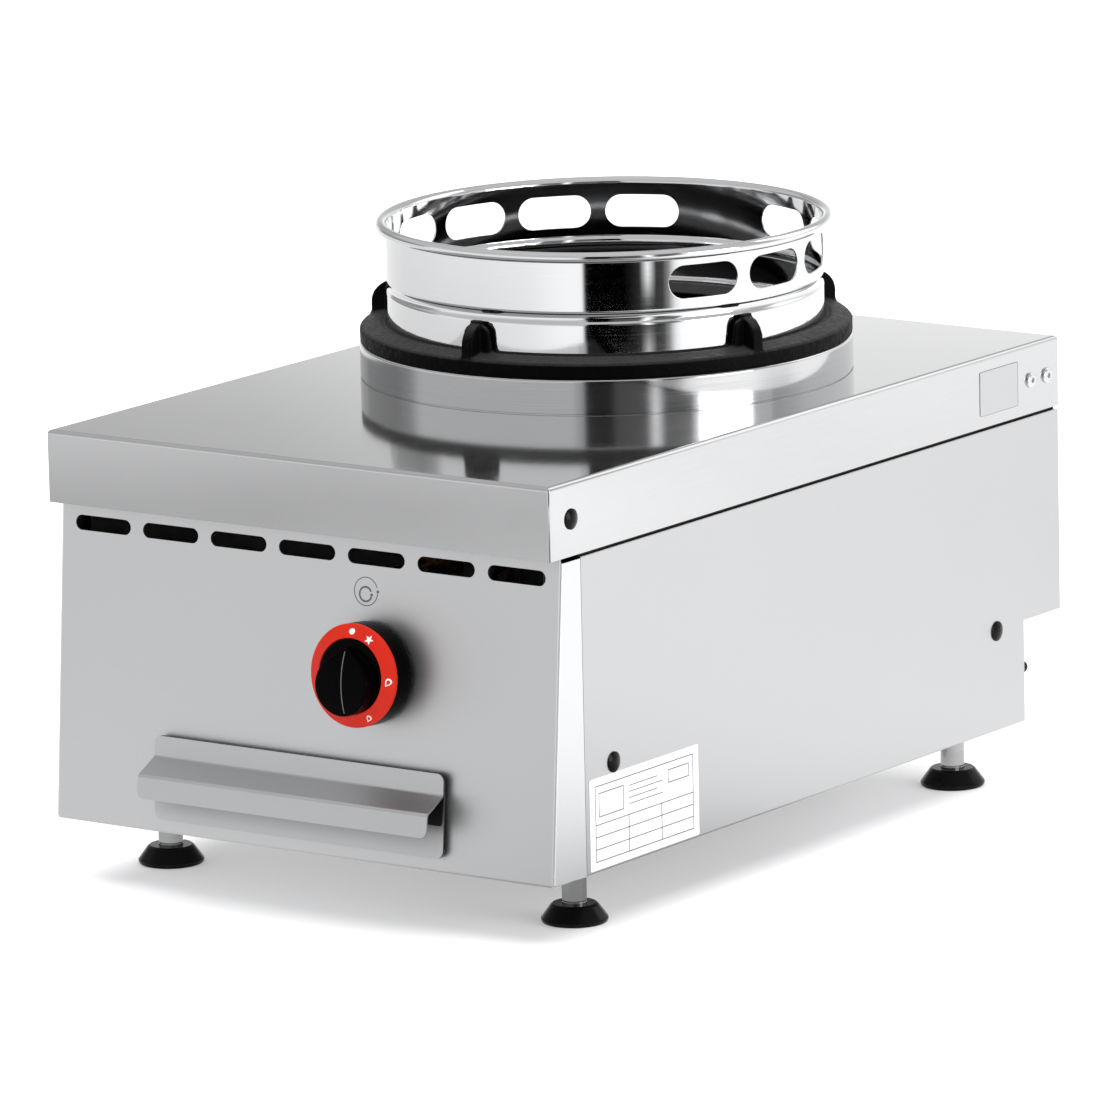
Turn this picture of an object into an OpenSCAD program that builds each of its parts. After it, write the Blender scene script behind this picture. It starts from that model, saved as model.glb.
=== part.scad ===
// Countertop gas wok burner: sheet-steel body on adjustable feet, raised burner
// collar, lift-off iron ring and wok ring, push-and-turn gas knob, pull-out drip tray.
// Millimetres. The floor is z = 0, the front faces -Y, and the origin is under the
// middle of the outline. Lengths along Y are first measured from the hob's front edge.

/* [Hob] */
// Width of the hob top
hob_w = 400; // [390:1:410]
// Depth of the hob top, front to back
hob_d = 600; // [590:1:620]
// Height of the hob surface above the floor
hob_z = 300; // [298:1:306]
// Height of the folded skirt around the hob
skirt_h = 48; // [44:1:50]
// Hob sheet thickness
hob_t = 1.5; // [1.2:0.1:2]
// Bend radius along the top edges of the hob
hob_r = 3.5; // [2.5:0.5:5]

/* [Body panels] */
// Height of the body's underside above the floor
body_z = 41; // [40:0.5:42]
// Panel sheet thickness
panel_t = 1.2; // [1:0.1:1.4]
// Slope of the front panel, bottom forward
tilt = 4.45; // [3.5:0.05:5]
// Length of one front vent slot
vent_l = 45; // [40:1:48]
// Height of a front vent slot
vent_h = 10; // [8:0.5:12]
// Vent slot pitch
vent_p = 55; // [53:0.5:56]

/* [Burner rings] */
// Distance of the burner centre from the hob's front edge
ring_y = 352.7; // [345:0.1:360]
// Outside radius of the raised collar
collar_r = 164.8; // [162:0.1:166]
// Height of the collar above the hob
collar_h = 23.5; // [22:0.5:25]
// Outside radius of the wok ring wall
wok_r = 146.1; // [145.8:0.1:146.2]
// Wok ring sheet thickness
wok_t = 1.2; // [1:0.1:1.4]
// Length of one oblong opening in the wok ring
port_l = 51; // [46:1:54]
// Height of an oblong opening in the wok ring
port_h = 22; // [20:0.5:23]
// Number of guide lugs on the iron ring
lugs = 5; // [3:1:6]

/* [Knob] */
// Knob centre, right of the middle
knob_x = 54.7; // [50:0.1:60]
// Knob centre, below the top of the front panel, along the slope
knob_s = 86.1; // [80:0.1:90]
// Knob outside radius
knob_r = 33.8; // [32:0.1:35]
// Push travel of the knob
knob_push = 3.5; // [2:0.5:3.5]

/* [Drip tray] */
// Width of the tray front
tray_w = 231.4; // [230:0.2:236]
// Height of the tray front, along the slope
tray_h = 55.6; // [53:0.2:56]
// Distance of the tray tub's rear end from the hob's front edge
tray_end = 470; // [440:1:475]

/* [Feet] */
// Distance of a foot from the middle plane
foot_x = 162.7; // [155:0.1:170]
// Front feet, from the hob's front edge
foot_y1 = 71.3; // [65:0.1:80]
// Rear feet, from the hob's front edge
foot_y2 = 518.8; // [515:0.1:520]
// Radius of the foot pad on the floor
pad_r = 22; // [20:0.5:24]
// Radius of the foot's steel sleeve
sleeve_r = 8.1; // [7:0.1:8.4]

/* [Gas] */
// Radius of the threaded inlet, half-inch taper thread
inlet_r = 10.48; // [10.4:0.01:10.5]
// Inlet distance from the middle plane
inlet_x = 150; // [140:1:155]
// Inlet height above the floor
inlet_z = 77; // [74:1:80]

/* [Hidden] */
$fn = 96;

pt = panel_t;
skirt_z = hob_z - skirt_h;
side_x = hob_w/2 - 1;               // outer face of the side panels
pan_top_y = 13.2;                   // front panel's top edge, behind the skirt's face
pan_top_z = skirt_z - 1.5;
flange_y = 34;                      // rear edge of the front panel's side returns
recess_y = hob_d - 46;              // rear recess for the gas connection
recess_z = 111;
collar_z = hob_z + collar_h;
floor_z = body_z + pt;              // underside of the base panel
knob_y = pan_top_y - knob_s*sin(tilt);
knob_z = pan_top_z - knob_s*cos(tilt);
ring_o = 21.1;                      // dial ring's outer edge, in front of the panel
hub_r = 24.4;                       // knob's hub, inside the dial ring
grip_o = 33.1;                      // grip's front edge, in front of the panel
grip_arc = 49.5;
tray_s = 172.8;                     // middle of the tray front, down the slope
tub_w = 216; tub_z0 = floor_z + pt + 14.1; tub_z1 = tub_z0 + 39.5; tub_t = 1;
y_front = knob_y - ((grip_o - grip_arc)*cos(tilt) + grip_arc);
y_mid = (y_front + hob_d)/2;
cap_x = side_x - 6.5;
plug_spots = [[66.6, 110], [520, 110]];
screw_spots = [564.1, 584.2];
pilot_a = 225; thermo_a = 243; pilot_rad = 68.2;
valve_out = [6, -33]; pilot_out = [-13, -24]; thermo_out = [-13, -43];
tube_z = hob_z - 95;
bolt_x = 32;                        // burner bolts, either side of the middle

function face_y(z) = pan_top_y - (pan_top_z - z)*tan(tilt);
function loc_y(s, o) = knob_y + s*sin(tilt) - o*cos(tilt);
function loc_z(s, o) = knob_z + s*cos(tilt) + o*sin(tilt);
function px(a) = pilot_rad*cos(a);
function py(a) = ring_y + pilot_rad*sin(a);

// Places the body so that the origin is under the middle of its outline.
module placed() { translate([0, -y_mid, 0]) children(); }
// Local frame on the front panel: x right, y up the slope, z straight out of it.
module on_panel(x, s, o = 0) {
  translate([x, pan_top_y - s*sin(tilt) - o*cos(tilt), pan_top_z - s*cos(tilt) + o*sin(tilt)])
    rotate([90 - tilt, 0, 0]) children();
}
module about_ring() { translate([0, ring_y, 0]) children(); }
// A section drawn in Y and Z, extruded along X and centred.
module along_x(w) { rotate([90, 0, 90]) linear_extrude(w, center = true) children(); }
module box(x0, x1, y0, y1, z0, z1) { translate([x0, y0, z0]) cube([x1 - x0, y1 - y0, z1 - z0]); }
module rod(p, q, r) {
  d = q - p; l = norm(d);
  translate(p) rotate([0, acos(d[2]/l), atan2(d[1], d[0])]) cylinder(r = r, h = l);
}
// Round pipe through the points, with ball elbows.
module pipe(pts, r) {
  for (i = [0 : len(pts) - 2]) rod(pts[i], pts[i + 1], r);
  for (i = [1 : len(pts) - 2]) translate(pts[i]) sphere(r);
}
module rrect(w, h, r) {
  square([w - 2*r, h], center = true);
  square([w, h - 2*r], center = true);
  for (i = [-1, 1], j = [-1, 1]) translate([i*(w/2 - r), j*(h/2 - r)]) circle(r);
}
module oblong(l, h) {
  square([l - h, h], center = true);
  for (i = [-1, 1]) translate([i*(l - h)/2, 0]) circle(h/2);
}
// A folded sheet's section along a path of points, round at the bends.
module fold(pts, t) {
  for (i = [0 : len(pts) - 2]) {
    d = pts[i + 1] - pts[i];
    translate(pts[i]) rotate(atan2(d[1], d[0])) translate([0, -t/2]) square([norm(d), t]);
  }
  for (i = [1 : len(pts) - 2]) translate(pts[i]) circle(t/2);
}
module xcyl(r, x0, x1, y, z) { translate([x0, y, z]) rotate([0, 90, 0]) cylinder(r = r, h = x1 - x0); }
module ycyl(r, x, y0, y1, z) { translate([x, y0, z]) rotate([-90, 0, 0]) cylinder(r = r, h = y1 - y0); }

// ---- hob ----
// Pan block with rounded top edges and upright corners.
module pan_block(w, d, z0, z1, re, rv) {
  intersection() {
    translate([0, hob_d/2, z0]) linear_extrude(z1 - z0) rrect(w, d, rv);
    translate([0, hob_d/2, 0]) along_x(w + 10) {
      translate([-d/2, z0 - 5]) square([d, z1 - z0 + 5 - re]);
      translate([-d/2 + re, z0 - 5]) square([d - 2*re, z1 - z0 + 5]);
      for (i = [-1, 1]) translate([i*(d/2 - re), z1 - re]) circle(re);
    }
    translate([0, hob_d/2, 0]) rotate([90, 0, 0]) linear_extrude(d + 10, center = true) {
      translate([-w/2, z0 - 5]) square([w, z1 - z0 + 5 - re]);
      translate([-w/2 + re, z0 - 5]) square([w - 2*re, z1 - z0 + 5]);
      for (i = [-1, 1]) translate([i*(w/2 - re), z1 - re]) circle(re);
    }
  }
}
module hob_top() {
  color("lightgray") placed() difference() {
    pan_block(hob_w, hob_d, skirt_z, hob_z, hob_r, 2.5);
    pan_block(hob_w - 2*hob_t, hob_d - 2*hob_t, skirt_z - 1, hob_z - hob_t, hob_r - hob_t, 1);
    about_ring() translate([0, 0, hob_z - 20]) cylinder(r = collar_r - 5, h = 40);
    for (i = [-1, 1]) {
      xcyl(4.1, i*hob_w/2 - 6, i*hob_w/2 + 6, 23.6, hob_z - 24);
      for (y = screw_spots) xcyl(2.5, i*hob_w/2 - 6, i*hob_w/2 + 6, y, hob_z - 25);
    }
  }
}
module hob_collar() {
  rr = 4; t = 1.5;
  color("silver") placed() about_ring() rotate_extrude() {
    translate([collar_r - t, hob_z]) square([t, collar_h - rr]);
    translate([collar_r - rr, collar_z - rr]) intersection() {
      difference() { circle(rr); circle(rr - t); }
      square(rr);
    }
    translate([136, collar_z - t]) square([collar_r - rr - 136, t]);
    translate([collar_r - 0.2, hob_z]) difference() {
      square([2.1, 2.1]);
      translate([2.1, 2.1]) circle(1.9);
    }
  }
}
module spill_bowl() {
  z = collar_z - 1.5;
  color("dimgray") placed() about_ring() rotate_extrude()
    polygon([[150, z], [137.6, z], [137.6, z - 9], [77, z - 52], [77, z - 53.6], [138.9, z - 9.7],
      [138.9, z - 1.3], [150, z - 1.3]]);
}

// ---- body panels ----
module front_panel() {
  color("gainsboro") placed() {
    difference() {
      union() {
        on_panel(0, 0, -pt) linear_extrude(pt) {
          l = (pan_top_z - body_z)/cos(tilt);
          translate([-(side_x + 0.5), -l]) square([2*side_x + 1, l]);
          translate([-195, -1]) square([390, 11]);
        }
        for (i = [-1, 1]) translate([i*(side_x + 0.5 - pt/2), 0, 0]) along_x(pt)
          polygon([[face_y(body_z) + pt/cos(tilt), body_z], [flange_y, body_z],
            [flange_y, skirt_z - 4.5], [face_y(skirt_z - 4.5) + pt/cos(tilt), skirt_z - 4.5]]);
        box(-side_x + 0.7, side_x - 0.7, face_y(body_z) + 1, 20, body_z, body_z + pt);
      }
      on_panel(0, 12.6, -5) linear_extrude(10)
        for (i = [-3 : 3]) translate([i*vent_p, 0]) oblong(vent_l, vent_h);
      on_panel(knob_x, knob_s, -5) cylinder(r = 9.3, h = 10);
      on_panel(0, tray_s, -5) linear_extrude(10) rrect(tub_w + 5, 46, 5);
    }
  }
}
module side_panel(i) {
  x0 = side_x - pt;
  color("whitesmoke") placed() difference() {
    union() {
      translate([i*(side_x - pt/2), 0, 0]) along_x(pt)
        polygon([[flange_y + 0.3, body_z], [recess_y, body_z], [recess_y, recess_z], [hob_d, recess_z],
          [hob_d, skirt_z - 2.5], [flange_y + 0.3, skirt_z - 2.5]]);
      mirror([i < 0 ? 1 : 0, 0, 0]) {
        box(side_x - 17, x0 + 0.1, flange_y + 0.3, recess_y - 1.2, body_z, body_z + pt);
        box(side_x - 3.4, x0 + 0.1, flange_y + 0.3, hob_d - 4, skirt_z - 2.5 - pt, skirt_z - 2.5);
        box(side_x - 3.4, side_x - 2.2, flange_y + 0.3, hob_d - 4, skirt_z - 2.5 - pt, hob_z - 8);
        box(side_x - 17, x0 + 0.1, hob_d - 5.2, hob_d - 4, recess_z + 2, skirt_z - 5);
        box(side_x - 17, x0 + 0.1, recess_y - 2.4, recess_y - 1.2, body_z + 4, recess_z - 1);
      }
    }
    for (p = plug_spots) xcyl(4.1, i*side_x - 6, i*side_x + 6, p[0], p[1]);
    for (y = screw_spots) xcyl(2.5, i*side_x - 8, i*side_x + 8, y, hob_z - 25);
    ycyl(2.6, i*cap_x, recess_y - 6, recess_y + 6, 77);
  }
}
module side_panel_left() { side_panel(-1); }
module side_panel_right() { side_panel(1); }
module rear_panel() {
  y1 = recess_y; y2 = hob_d - 2.8; z1 = recess_z; w = 2*side_x - 2*pt - 0.4;
  color("gainsboro") placed() difference() {
    along_x(w) polygon([[y1 - 18, floor_z + pt], [y1, floor_z + pt], [y1, z1], [y2, z1], [y2, hob_z - 12],
      [y2 - pt, hob_z - 12], [y2 - pt, z1 + pt], [y1 - pt, z1 + pt], [y1 - pt, floor_z + 2*pt],
      [y1 - 18, floor_z + 2*pt]]);
    ycyl(11, inlet_x, y1 - 6, y1 + 6, inlet_z);
    for (i = [-1, 1]) {
      ycyl(2.6, i*cap_x, y1 - 6, y1 + 6, 77);
      for (z = [130, 234]) ycyl(2.2, i*188, y2 - 6, y2 + 6, z);
    }
    for (i = [-2 : 2]) translate([i*66, y2 + 6, 226]) rotate([90, 0, 0]) linear_extrude(12) oblong(52, 9);
  }
}
module base_panel() {
  color("silver") placed() difference() {
    box(-side_x + pt + 0.3, side_x - pt - 0.3, 3, recess_y - 2.6, floor_z, floor_z + pt);
    for (i = [-1, 1], y = [foot_y1, foot_y2]) translate([i*foot_x, y, 0]) cylinder(r = 5.2, h = 80);
    for (i = [-2 : 2]) translate([i*34, 505, floor_z - 1]) linear_extrude(5) oblong(26, 8);
  }
}
module tray_runner(i) {
  z0 = floor_z + pt; zt = tub_z0 - 0.3; x = tub_w/2 + 2.4;
  color("lightgray") placed() mirror([i < 0 ? 1 : 0, 0, 0]) {
    box(x, x + 17, 14, 482, z0, z0 + pt);
    box(x, x + pt, 14, 482, z0, tub_z0 + 22);
    box(x - 13, x + pt, 14, 482, zt - pt, zt);
  }
}
module tray_runner_left() { tray_runner(-1); }
module tray_runner_right() { tray_runner(1); }

// ---- burner ----
module burner_bracket() {
  z = tube_z + 29; x = side_x - pt;
  color("silver") placed() difference() {
    union() {
      box(-x, x, ring_y - 31, ring_y + 31, z, z + 2);
      for (i = [-1, 1]) box(min(i*x, i*(x - 2)), max(i*x, i*(x - 2)), ring_y - 31, ring_y + 31, z - 26, z + 2);
    }
    about_ring() {
      translate([0, 0, z - 5]) cylinder(r = 24.6, h = 12);
      for (i = [-1, 1]) translate([i*bolt_x, 0, z - 5]) cylinder(r = 3.3, h = 12);
    }
  }
}
module burner_body() {
  zf = tube_z + 31;
  color("darkslategray") placed() difference() {
    union() {
      about_ring() rotate_extrude() {
        polygon([[0, tube_z - 22], [24, tube_z - 22], [24, zf], [38, zf], [38, zf + 6], [26, zf + 6],
          [26, hob_z - 40], [60, hob_z - 26], [60, hob_z - 8], [0, hob_z - 8]]);
      }
      ycyl(19, 0, 205, ring_y, tube_z);
      translate([0, 188, tube_z]) rotate([-90, 0, 0]) cylinder(r1 = 28, r2 = 19, h = 17.5);
    }
    about_ring() rotate_extrude()
      polygon([[0, tube_z - 17], [17, tube_z - 17], [17, hob_z - 34], [54, hob_z - 20], [54, hob_z], [0, hob_z]]);
    ycyl(14, 0, 180, ring_y, tube_z);
    translate([0, 187.9, tube_z]) rotate([-90, 0, 0]) cylinder(r1 = 24.1, r2 = 14, h = 15);
    for (i = [-1, 1]) about_ring() translate([i*bolt_x, 0, zf - 2]) cylinder(r = 3.3, h = 12);
  }
}
module burner_bolts() {
  z = tube_z + 37;
  color("silver") placed() about_ring() for (i = [-1, 1]) translate([i*bolt_x, 0, 0]) {
    translate([0, 0, z]) cylinder(r = 5.6, h = 4.2, $fn = 6);
    translate([0, 0, z - 16]) cylinder(r = 3, h = 16.5);
    translate([0, 0, z - 13]) cylinder(r = 5.6, h = 5, $fn = 6);
  }
}
module burner_crown() {
  z = hob_z - 8;
  color("goldenrod") placed() about_ring() difference() {
    rotate_extrude() polygon([[46, z - 8], [53.4, z - 8], [53.4, z], [60, z], [60, z + 14], [52, z + 14], [46, z + 9]]);
    for (k = [0 : 23]) rotate([0, 0, k*15]) translate([40, -1.5, z + 4]) cube([30, 3, 12]);
  }
}
module burner_cap() {
  z = hob_z + 6;
  color("#2b2b2d") placed() about_ring() rotate_extrude() intersection() {
    union() {
      translate([0, z]) square([59, 3.5]);
      translate([0, z - 4.6]) square([45.6, 6]);
      translate([0, z + 7 - 250]) circle(250, $fn = 240);
    }
    translate([0, z - 6]) square([59, 30]);
    union() {
      translate([0, z]) square([60, 20]);
      translate([0, z - 4.6]) square([45.6, 10]);
    }
  }
}
module injector_holder() {
  color("darkgoldenrod") placed() difference() {
    union() {
      box(-10, 10, 150, 170, tube_z - 10, tube_z + 10);
      ycyl(8, 0, 143, 150, tube_z);
    }
    ycyl(5, 0, 140, 172, tube_z);
  }
}
module injector() {
  color("gold") placed() translate([0, 0, tube_z]) rotate([-90, 0, 0]) difference() {
    union() {
      translate([0, 0, 170]) cylinder(r = 8, h = 6, $fn = 6);
      translate([0, 0, 176]) cylinder(r = 5.5, h = 6);
      translate([0, 0, 182]) cylinder(r1 = 5.5, r2 = 3, h = 4);
      translate([0, 0, 162]) cylinder(r = 4.9, h = 8);
    }
    translate([0, 0, 161]) cylinder(r = 1.2, h = 26);
  }
}
module supply_pipe() {
  y = loc_y(valve_out[0], valve_out[1]); z = loc_z(valve_out[0], valve_out[1]);
  color("peru") placed() pipe([[knob_x - 16, y, z], [0, y, z], [0, 100, z], [0, 100, tube_z], [0, 143, tube_z]], 4.9);
}

// ---- gas valve, rail and inlet ----
module gas_valve() {
  color("darkgoldenrod") placed() on_panel(knob_x, knob_s) difference() {
    union() {
      translate([0, 0, -15]) cylinder(r = 9, h = 19);
      translate([0, 0, -15]) cylinder(r = 15, h = 15 - pt);
      translate([-16, -20, -52]) cube([32, 40, 37.5]);
      translate([0, 0, -70]) cylinder(r = 12, h = 19);
    }
    translate([0, 0, -42]) cylinder(r = 6, h = 60);
  }
}
module valve_nut() {
  color("silver") placed() on_panel(knob_x, knob_s) difference() {
    cylinder(r = 14, h = 4.2, $fn = 6);
    translate([0, 0, -1]) cylinder(r = 9.05, h = 8);
  }
}
module valve_plunger() {
  color("gold") placed() on_panel(knob_x, knob_s) difference() {
    translate([0, 0, -36]) cylinder(r = 5.94, h = 28);
    translate([0, 0, -26]) cylinder(r = 4.05, h = 20);
  }
}
module knob_spindle() {
  color("silver") placed() on_panel(knob_x, knob_s) difference() {
    translate([0, 0, -25.6]) cylinder(r = 4, h = 49);
    translate([-6, 2.2, 8.6]) cube([12, 6, 20]);
  }
}
module gas_rail() {
  y = loc_y(0, -33); z = loc_z(0, -33);
  color("silver") placed()
    pipe([[knob_x + 16, y, z], [inlet_x, y, z], [inlet_x, y, inlet_z], [inlet_x, recess_y - 20, inlet_z]], 7);
}
module gas_inlet() {
  color("darkgoldenrod") placed() difference() {
    union() {
      ycyl(inlet_r, inlet_x, recess_y + 8, recess_y + 34, inlet_z);
      translate([inlet_x, recess_y, inlet_z]) rotate([-90, 0, 0]) cylinder(r = 16, h = 8.1, $fn = 6);
      ycyl(10, inlet_x, recess_y - 20, recess_y + 1, inlet_z);
    }
    ycyl(7.5, inlet_x, recess_y - 10, recess_y + 40, inlet_z);
  }
}
module inlet_locknut() {
  color("silver") placed() difference() {
    translate([inlet_x, recess_y - pt - 7, inlet_z]) rotate([-90, 0, 0]) cylinder(r = 15, h = 7, $fn = 6);
    ycyl(10.05, inlet_x, recess_y - 20, recess_y, inlet_z);
  }
}
module pilot_bracket() {
  z = tube_z + 31;
  color("silver") placed() difference() {
    box(px(pilot_a) - 12, px(thermo_a) + 7, py(thermo_a) - 9, ring_y - 22, z, z + 2);
    translate([px(pilot_a), py(pilot_a), z - 2]) cylinder(r = 4.6, h = 6);
    translate([px(thermo_a), py(thermo_a), z - 2]) cylinder(r = 3.1, h = 6);
    about_ring() translate([0, 0, z - 2]) cylinder(r = 39, h = 6);
  }
}
module pilot_burner() {
  z = tube_z + 33;
  color("darkgoldenrod") placed() translate([px(pilot_a), py(pilot_a), 0]) {
    translate([0, 0, tube_z + 16]) cylinder(r = 4.5, h = hob_z - 4 - tube_z - 16);
    translate([0, 0, z]) cylinder(r = 6.3, h = 4);
    translate([0, 0, hob_z - 4]) cylinder(r = 5.6, h = 7);
  }
}
module pilot_pipe() {
  x = px(pilot_a); y = py(pilot_a);
  yv = loc_y(pilot_out[0], pilot_out[1]); zv = loc_z(pilot_out[0], pilot_out[1]);
  color("peru") placed()
    pipe([[x, y, tube_z + 16], [x, y, zv], [x, yv, zv], [knob_x - 16, yv, zv]], 2.5);
}
module thermocouple() {
  x = px(thermo_a); y = py(thermo_a); z = tube_z + 33;
  yv = loc_y(thermo_out[0], thermo_out[1]); zv = loc_z(thermo_out[0], thermo_out[1]);
  color("peru") placed() {
    translate([x, y, tube_z + 14]) cylinder(r = 3, h = hob_z - tube_z - 12);
    translate([x, y, z]) cylinder(r = 4.6, h = 4);
    pipe([[x, y, tube_z + 14], [x, y, zv], [x, yv, zv], [knob_x - 16, yv, zv]], 1.6);
  }
}

// ---- small hardware ----
module dome(r, h) {   // low dome, flat side down
  R = (r*r + h*h)/(2*h);
  intersection() {
    translate([0, 0, h - R]) sphere(R);
    cylinder(r = r + 1, h = h + 1);
  }
}
module plug(len) {
  translate([0, 0, 0.6]) dome(6.8, 1.8);
  cylinder(r = 6.8, h = 0.61);
  translate([0, 0, -len]) cylinder(r = 4, h = len + 0.1);
}
module side_plugs() {
  color("#151515") placed() for (i = [-1, 1]) {
    for (p = plug_spots) translate([i*side_x, p[0], p[1]]) rotate([0, i*90, 0]) plug(4);
    translate([i*hob_w/2, 23.6, hob_z - 24]) rotate([0, i*90, 0]) plug(4);
  }
}
module rear_caps() {
  color("#151515") placed() for (i = [-1, 1]) {
    ycyl(4.4, i*cap_x, recess_y, recess_y + 6.3, 77);
    translate([i*cap_x, recess_y + 6.3, 77]) sphere(4.4);
    ycyl(2.5, i*cap_x, recess_y - 4, recess_y + 1, 77);
  }
}
module socket_screw(rh, hh, rs, len) {
  difference() {
    cylinder(r = rh, h = hh);
    translate([0, 0, hh - 1.4]) cylinder(r = 2, h = 3, $fn = 6);
  }
  translate([0, 0, -len]) cylinder(r = rs, h = len + 0.1);
}
module hob_screws() {
  color("silver") placed() for (i = [-1, 1], y = screw_spots)
    translate([i*hob_w/2, y, hob_z - 25]) rotate([0, i*90, 0]) socket_screw(5.2, 2.4, 2.4, 6.5);
}
module rear_screws() {
  color("silver") placed() for (i = [-1, 1], z = [130, 234])
    translate([i*188, hob_d - 2.8, z]) rotate([-90, 0, 0]) {
      socket_screw(4, 2.2, 2.1, pt);
    }
}
module badge_plate() {
  color("gainsboro") placed() translate([hob_w/2 + 0.3, 524.5, hob_z - 24.8]) rotate([90, 0, 90])
    linear_extrude(0.6, center = true) rrect(47, 30.4, 1);
}
module data_plate() {
  color("white") placed() translate([side_x + 0.15, 100.1, 73]) rotate([90, 0, 90])
    linear_extrude(0.3, center = true) rrect(122.8, 60, 1);
}
module foot_studs() {
  color("silver") placed() for (i = [-1, 1], y = [foot_y1, foot_y2])
    translate([i*foot_x, y, 17]) cylinder(r = 4.92, h = 41);
}
module foot_nuts() {
  color("silver") placed() for (i = [-1, 1], y = [foot_y1, foot_y2])
    translate([i*foot_x, y, floor_z + pt]) difference() {
      cylinder(r = 9.6, h = 8, $fn = 6);
      translate([0, 0, -1]) cylinder(r = 4.97, h = 12);
    }
}
module foot_sleeve(i, y) {
  color("silver") placed() translate([i*foot_x, y, 0]) difference() {
    translate([0, 0, 6]) cylinder(r = sleeve_r, h = floor_z - 6);
    translate([0, 0, 15.5]) cylinder(r = 5, h = 40);
  }
}
module foot_pad(i, y) {
  color("#141414") placed() translate([i*foot_x, y, 0]) difference() {
    rotate_extrude() {
      polygon([[0, 0], [pad_r - 2, 0], [pad_r - 0.42, 3.22], [15.6, 11.4], [14.4, 12.5], [0, 12.5]]);
      translate([pad_r - 2, 2]) circle(2);
    }
    translate([0, 0, 6]) cylinder(r = sleeve_r + 0.02, h = 20);
  }
}

// ---- drip tray ----
// Section of the tub, with its front end along the sloped panel.
module tub_section(z0, z1, o, y1) {
  polygon([[face_y(z0) - o/cos(tilt), z0], [y1, z0], [y1, z1], [face_y(z1) - o/cos(tilt), z1]]);
}
module drip_tray() {
  color("silver") placed() difference() {
    along_x(tub_w) tub_section(tub_z0, tub_z1, 3.3, tray_end);
    along_x(tub_w - 2*tub_t) tub_section(tub_z0 + tub_t, tub_z1 + 5, 3.3 - tub_t, tray_end - tub_t);
  }
}
module tray_front() {
  color("lightgray") placed() on_panel(0, tray_s, 3.3) linear_extrude(pt) rrect(tray_w, tray_h, 6);
}
module tray_handle() {
  s0 = tray_h/2 - 0.2; o = 3.3 + pt*1.5;
  color("lightgray") placed() on_panel(0, tray_s) intersection() {
    along_x(tray_w) fold([[s0, o], [s0 - 14.3, o], [s0 - 24.5, 22.4], [s0 - 39.5, 23.2]], pt);
    translate([0, s0 - 19.75, -5]) linear_extrude(60) rrect(tray_w, 39.5, 5);
  }
}

// ---- knob ----
module knob() {
  color("#161616") placed() on_panel(knob_x, knob_s) difference() {
    union() {
      rotate_extrude() {
        translate([0, 4.3]) square([knob_r, ring_o - 2.5 - 4.3]);
        translate([0, 4.3]) square([hub_r, ring_o + 3.6 - 4.3]);
      }
      intersection() {
        translate([0, 0, ring_o - 3]) linear_extrude(20) {
          translate([0, -4.3]) circle(20);
          translate([0, 15]) circle(4.2);
          polygon([[-11.4, 12], [11.4, 12], [2.35, 18.3], [-2.35, 18.3]]);
        }
        translate([0, 0, grip_o - grip_arc]) rotate([0, 90, 0]) cylinder(r = grip_arc, h = 60, center = true);
      }
    }
    difference() {
      translate([0, 0, 0]) cylinder(r = knob_r - 3, h = 15.5);
      translate([0, 0, 8.6]) cylinder(r = 9, h = 10);
    }
    intersection() {
      cylinder(r = 4.03, h = 23.7);
      translate([-6, -6, 0]) cube([12, 8.23, 40]);
    }
  }
}
module knob_ring() {
  color("red") placed() on_panel(knob_x, knob_s) translate([0, 0, ring_o - 2.5]) rotate_extrude()
    polygon([[hub_r + 0.05, 0], [knob_r - 0.1, 0], [knob_r - 0.1, 1.5], [knob_r - 1.1, 2.6], [hub_r + 0.8, 5.4],
      [hub_r + 0.05, 5.1]]);
}

// ---- lift-off rings ----
module lug_shape() {
  rin = wok_r + 2.3; z = collar_z;
  intersection() {
    rotate([90, 0, 0]) linear_extrude(40, center = true) {
      translate([rin, z + 7]) square([13.6, 10.5]);
      intersection() {
        translate([rin - 1.4, z + 17.5]) circle(15);
        translate([rin, z + 7]) square([20, 40]);
      }
    }
    rotate([90, 0, 90]) linear_extrude(200) {
      polygon([[-13.5, z + 5], [13.5, z + 5], [10.5, z + 23], [-10.5, z + 23]]);
      translate([0, z + 22.5]) circle(10.5);
    }
    translate([0, 0, z]) linear_extrude(60)
      polygon([[rin - 1, -14], [rin + 13.8, -4.4], [rin + 13.8, 4.4], [rin - 1, 14]]);
  }
}
module pan_support_ring() {
  z = collar_z; ro = collar_r - 0.5;
  color("#2a2a2c") placed() about_ring() union() {
    rotate_extrude() {
      polygon([[122, z], [ro, z], [ro, z + 8.6], [ro - 1.5, z + 10.1], [wok_r + 4, z + 12.6], [wok_r + 1, z + 12.8],
        [wok_r + 0.6, z + 11.4], [132, z + 11.4], [122, z + 7]]);
      polygon([[131, z - 7], [135.4, z - 7], [135.4, z + 1], [131, z + 1]]);
    }
    for (k = [0 : lugs - 1]) rotate([0, 0, -90 + k*360/lugs]) lug_shape();
  }
}
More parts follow.
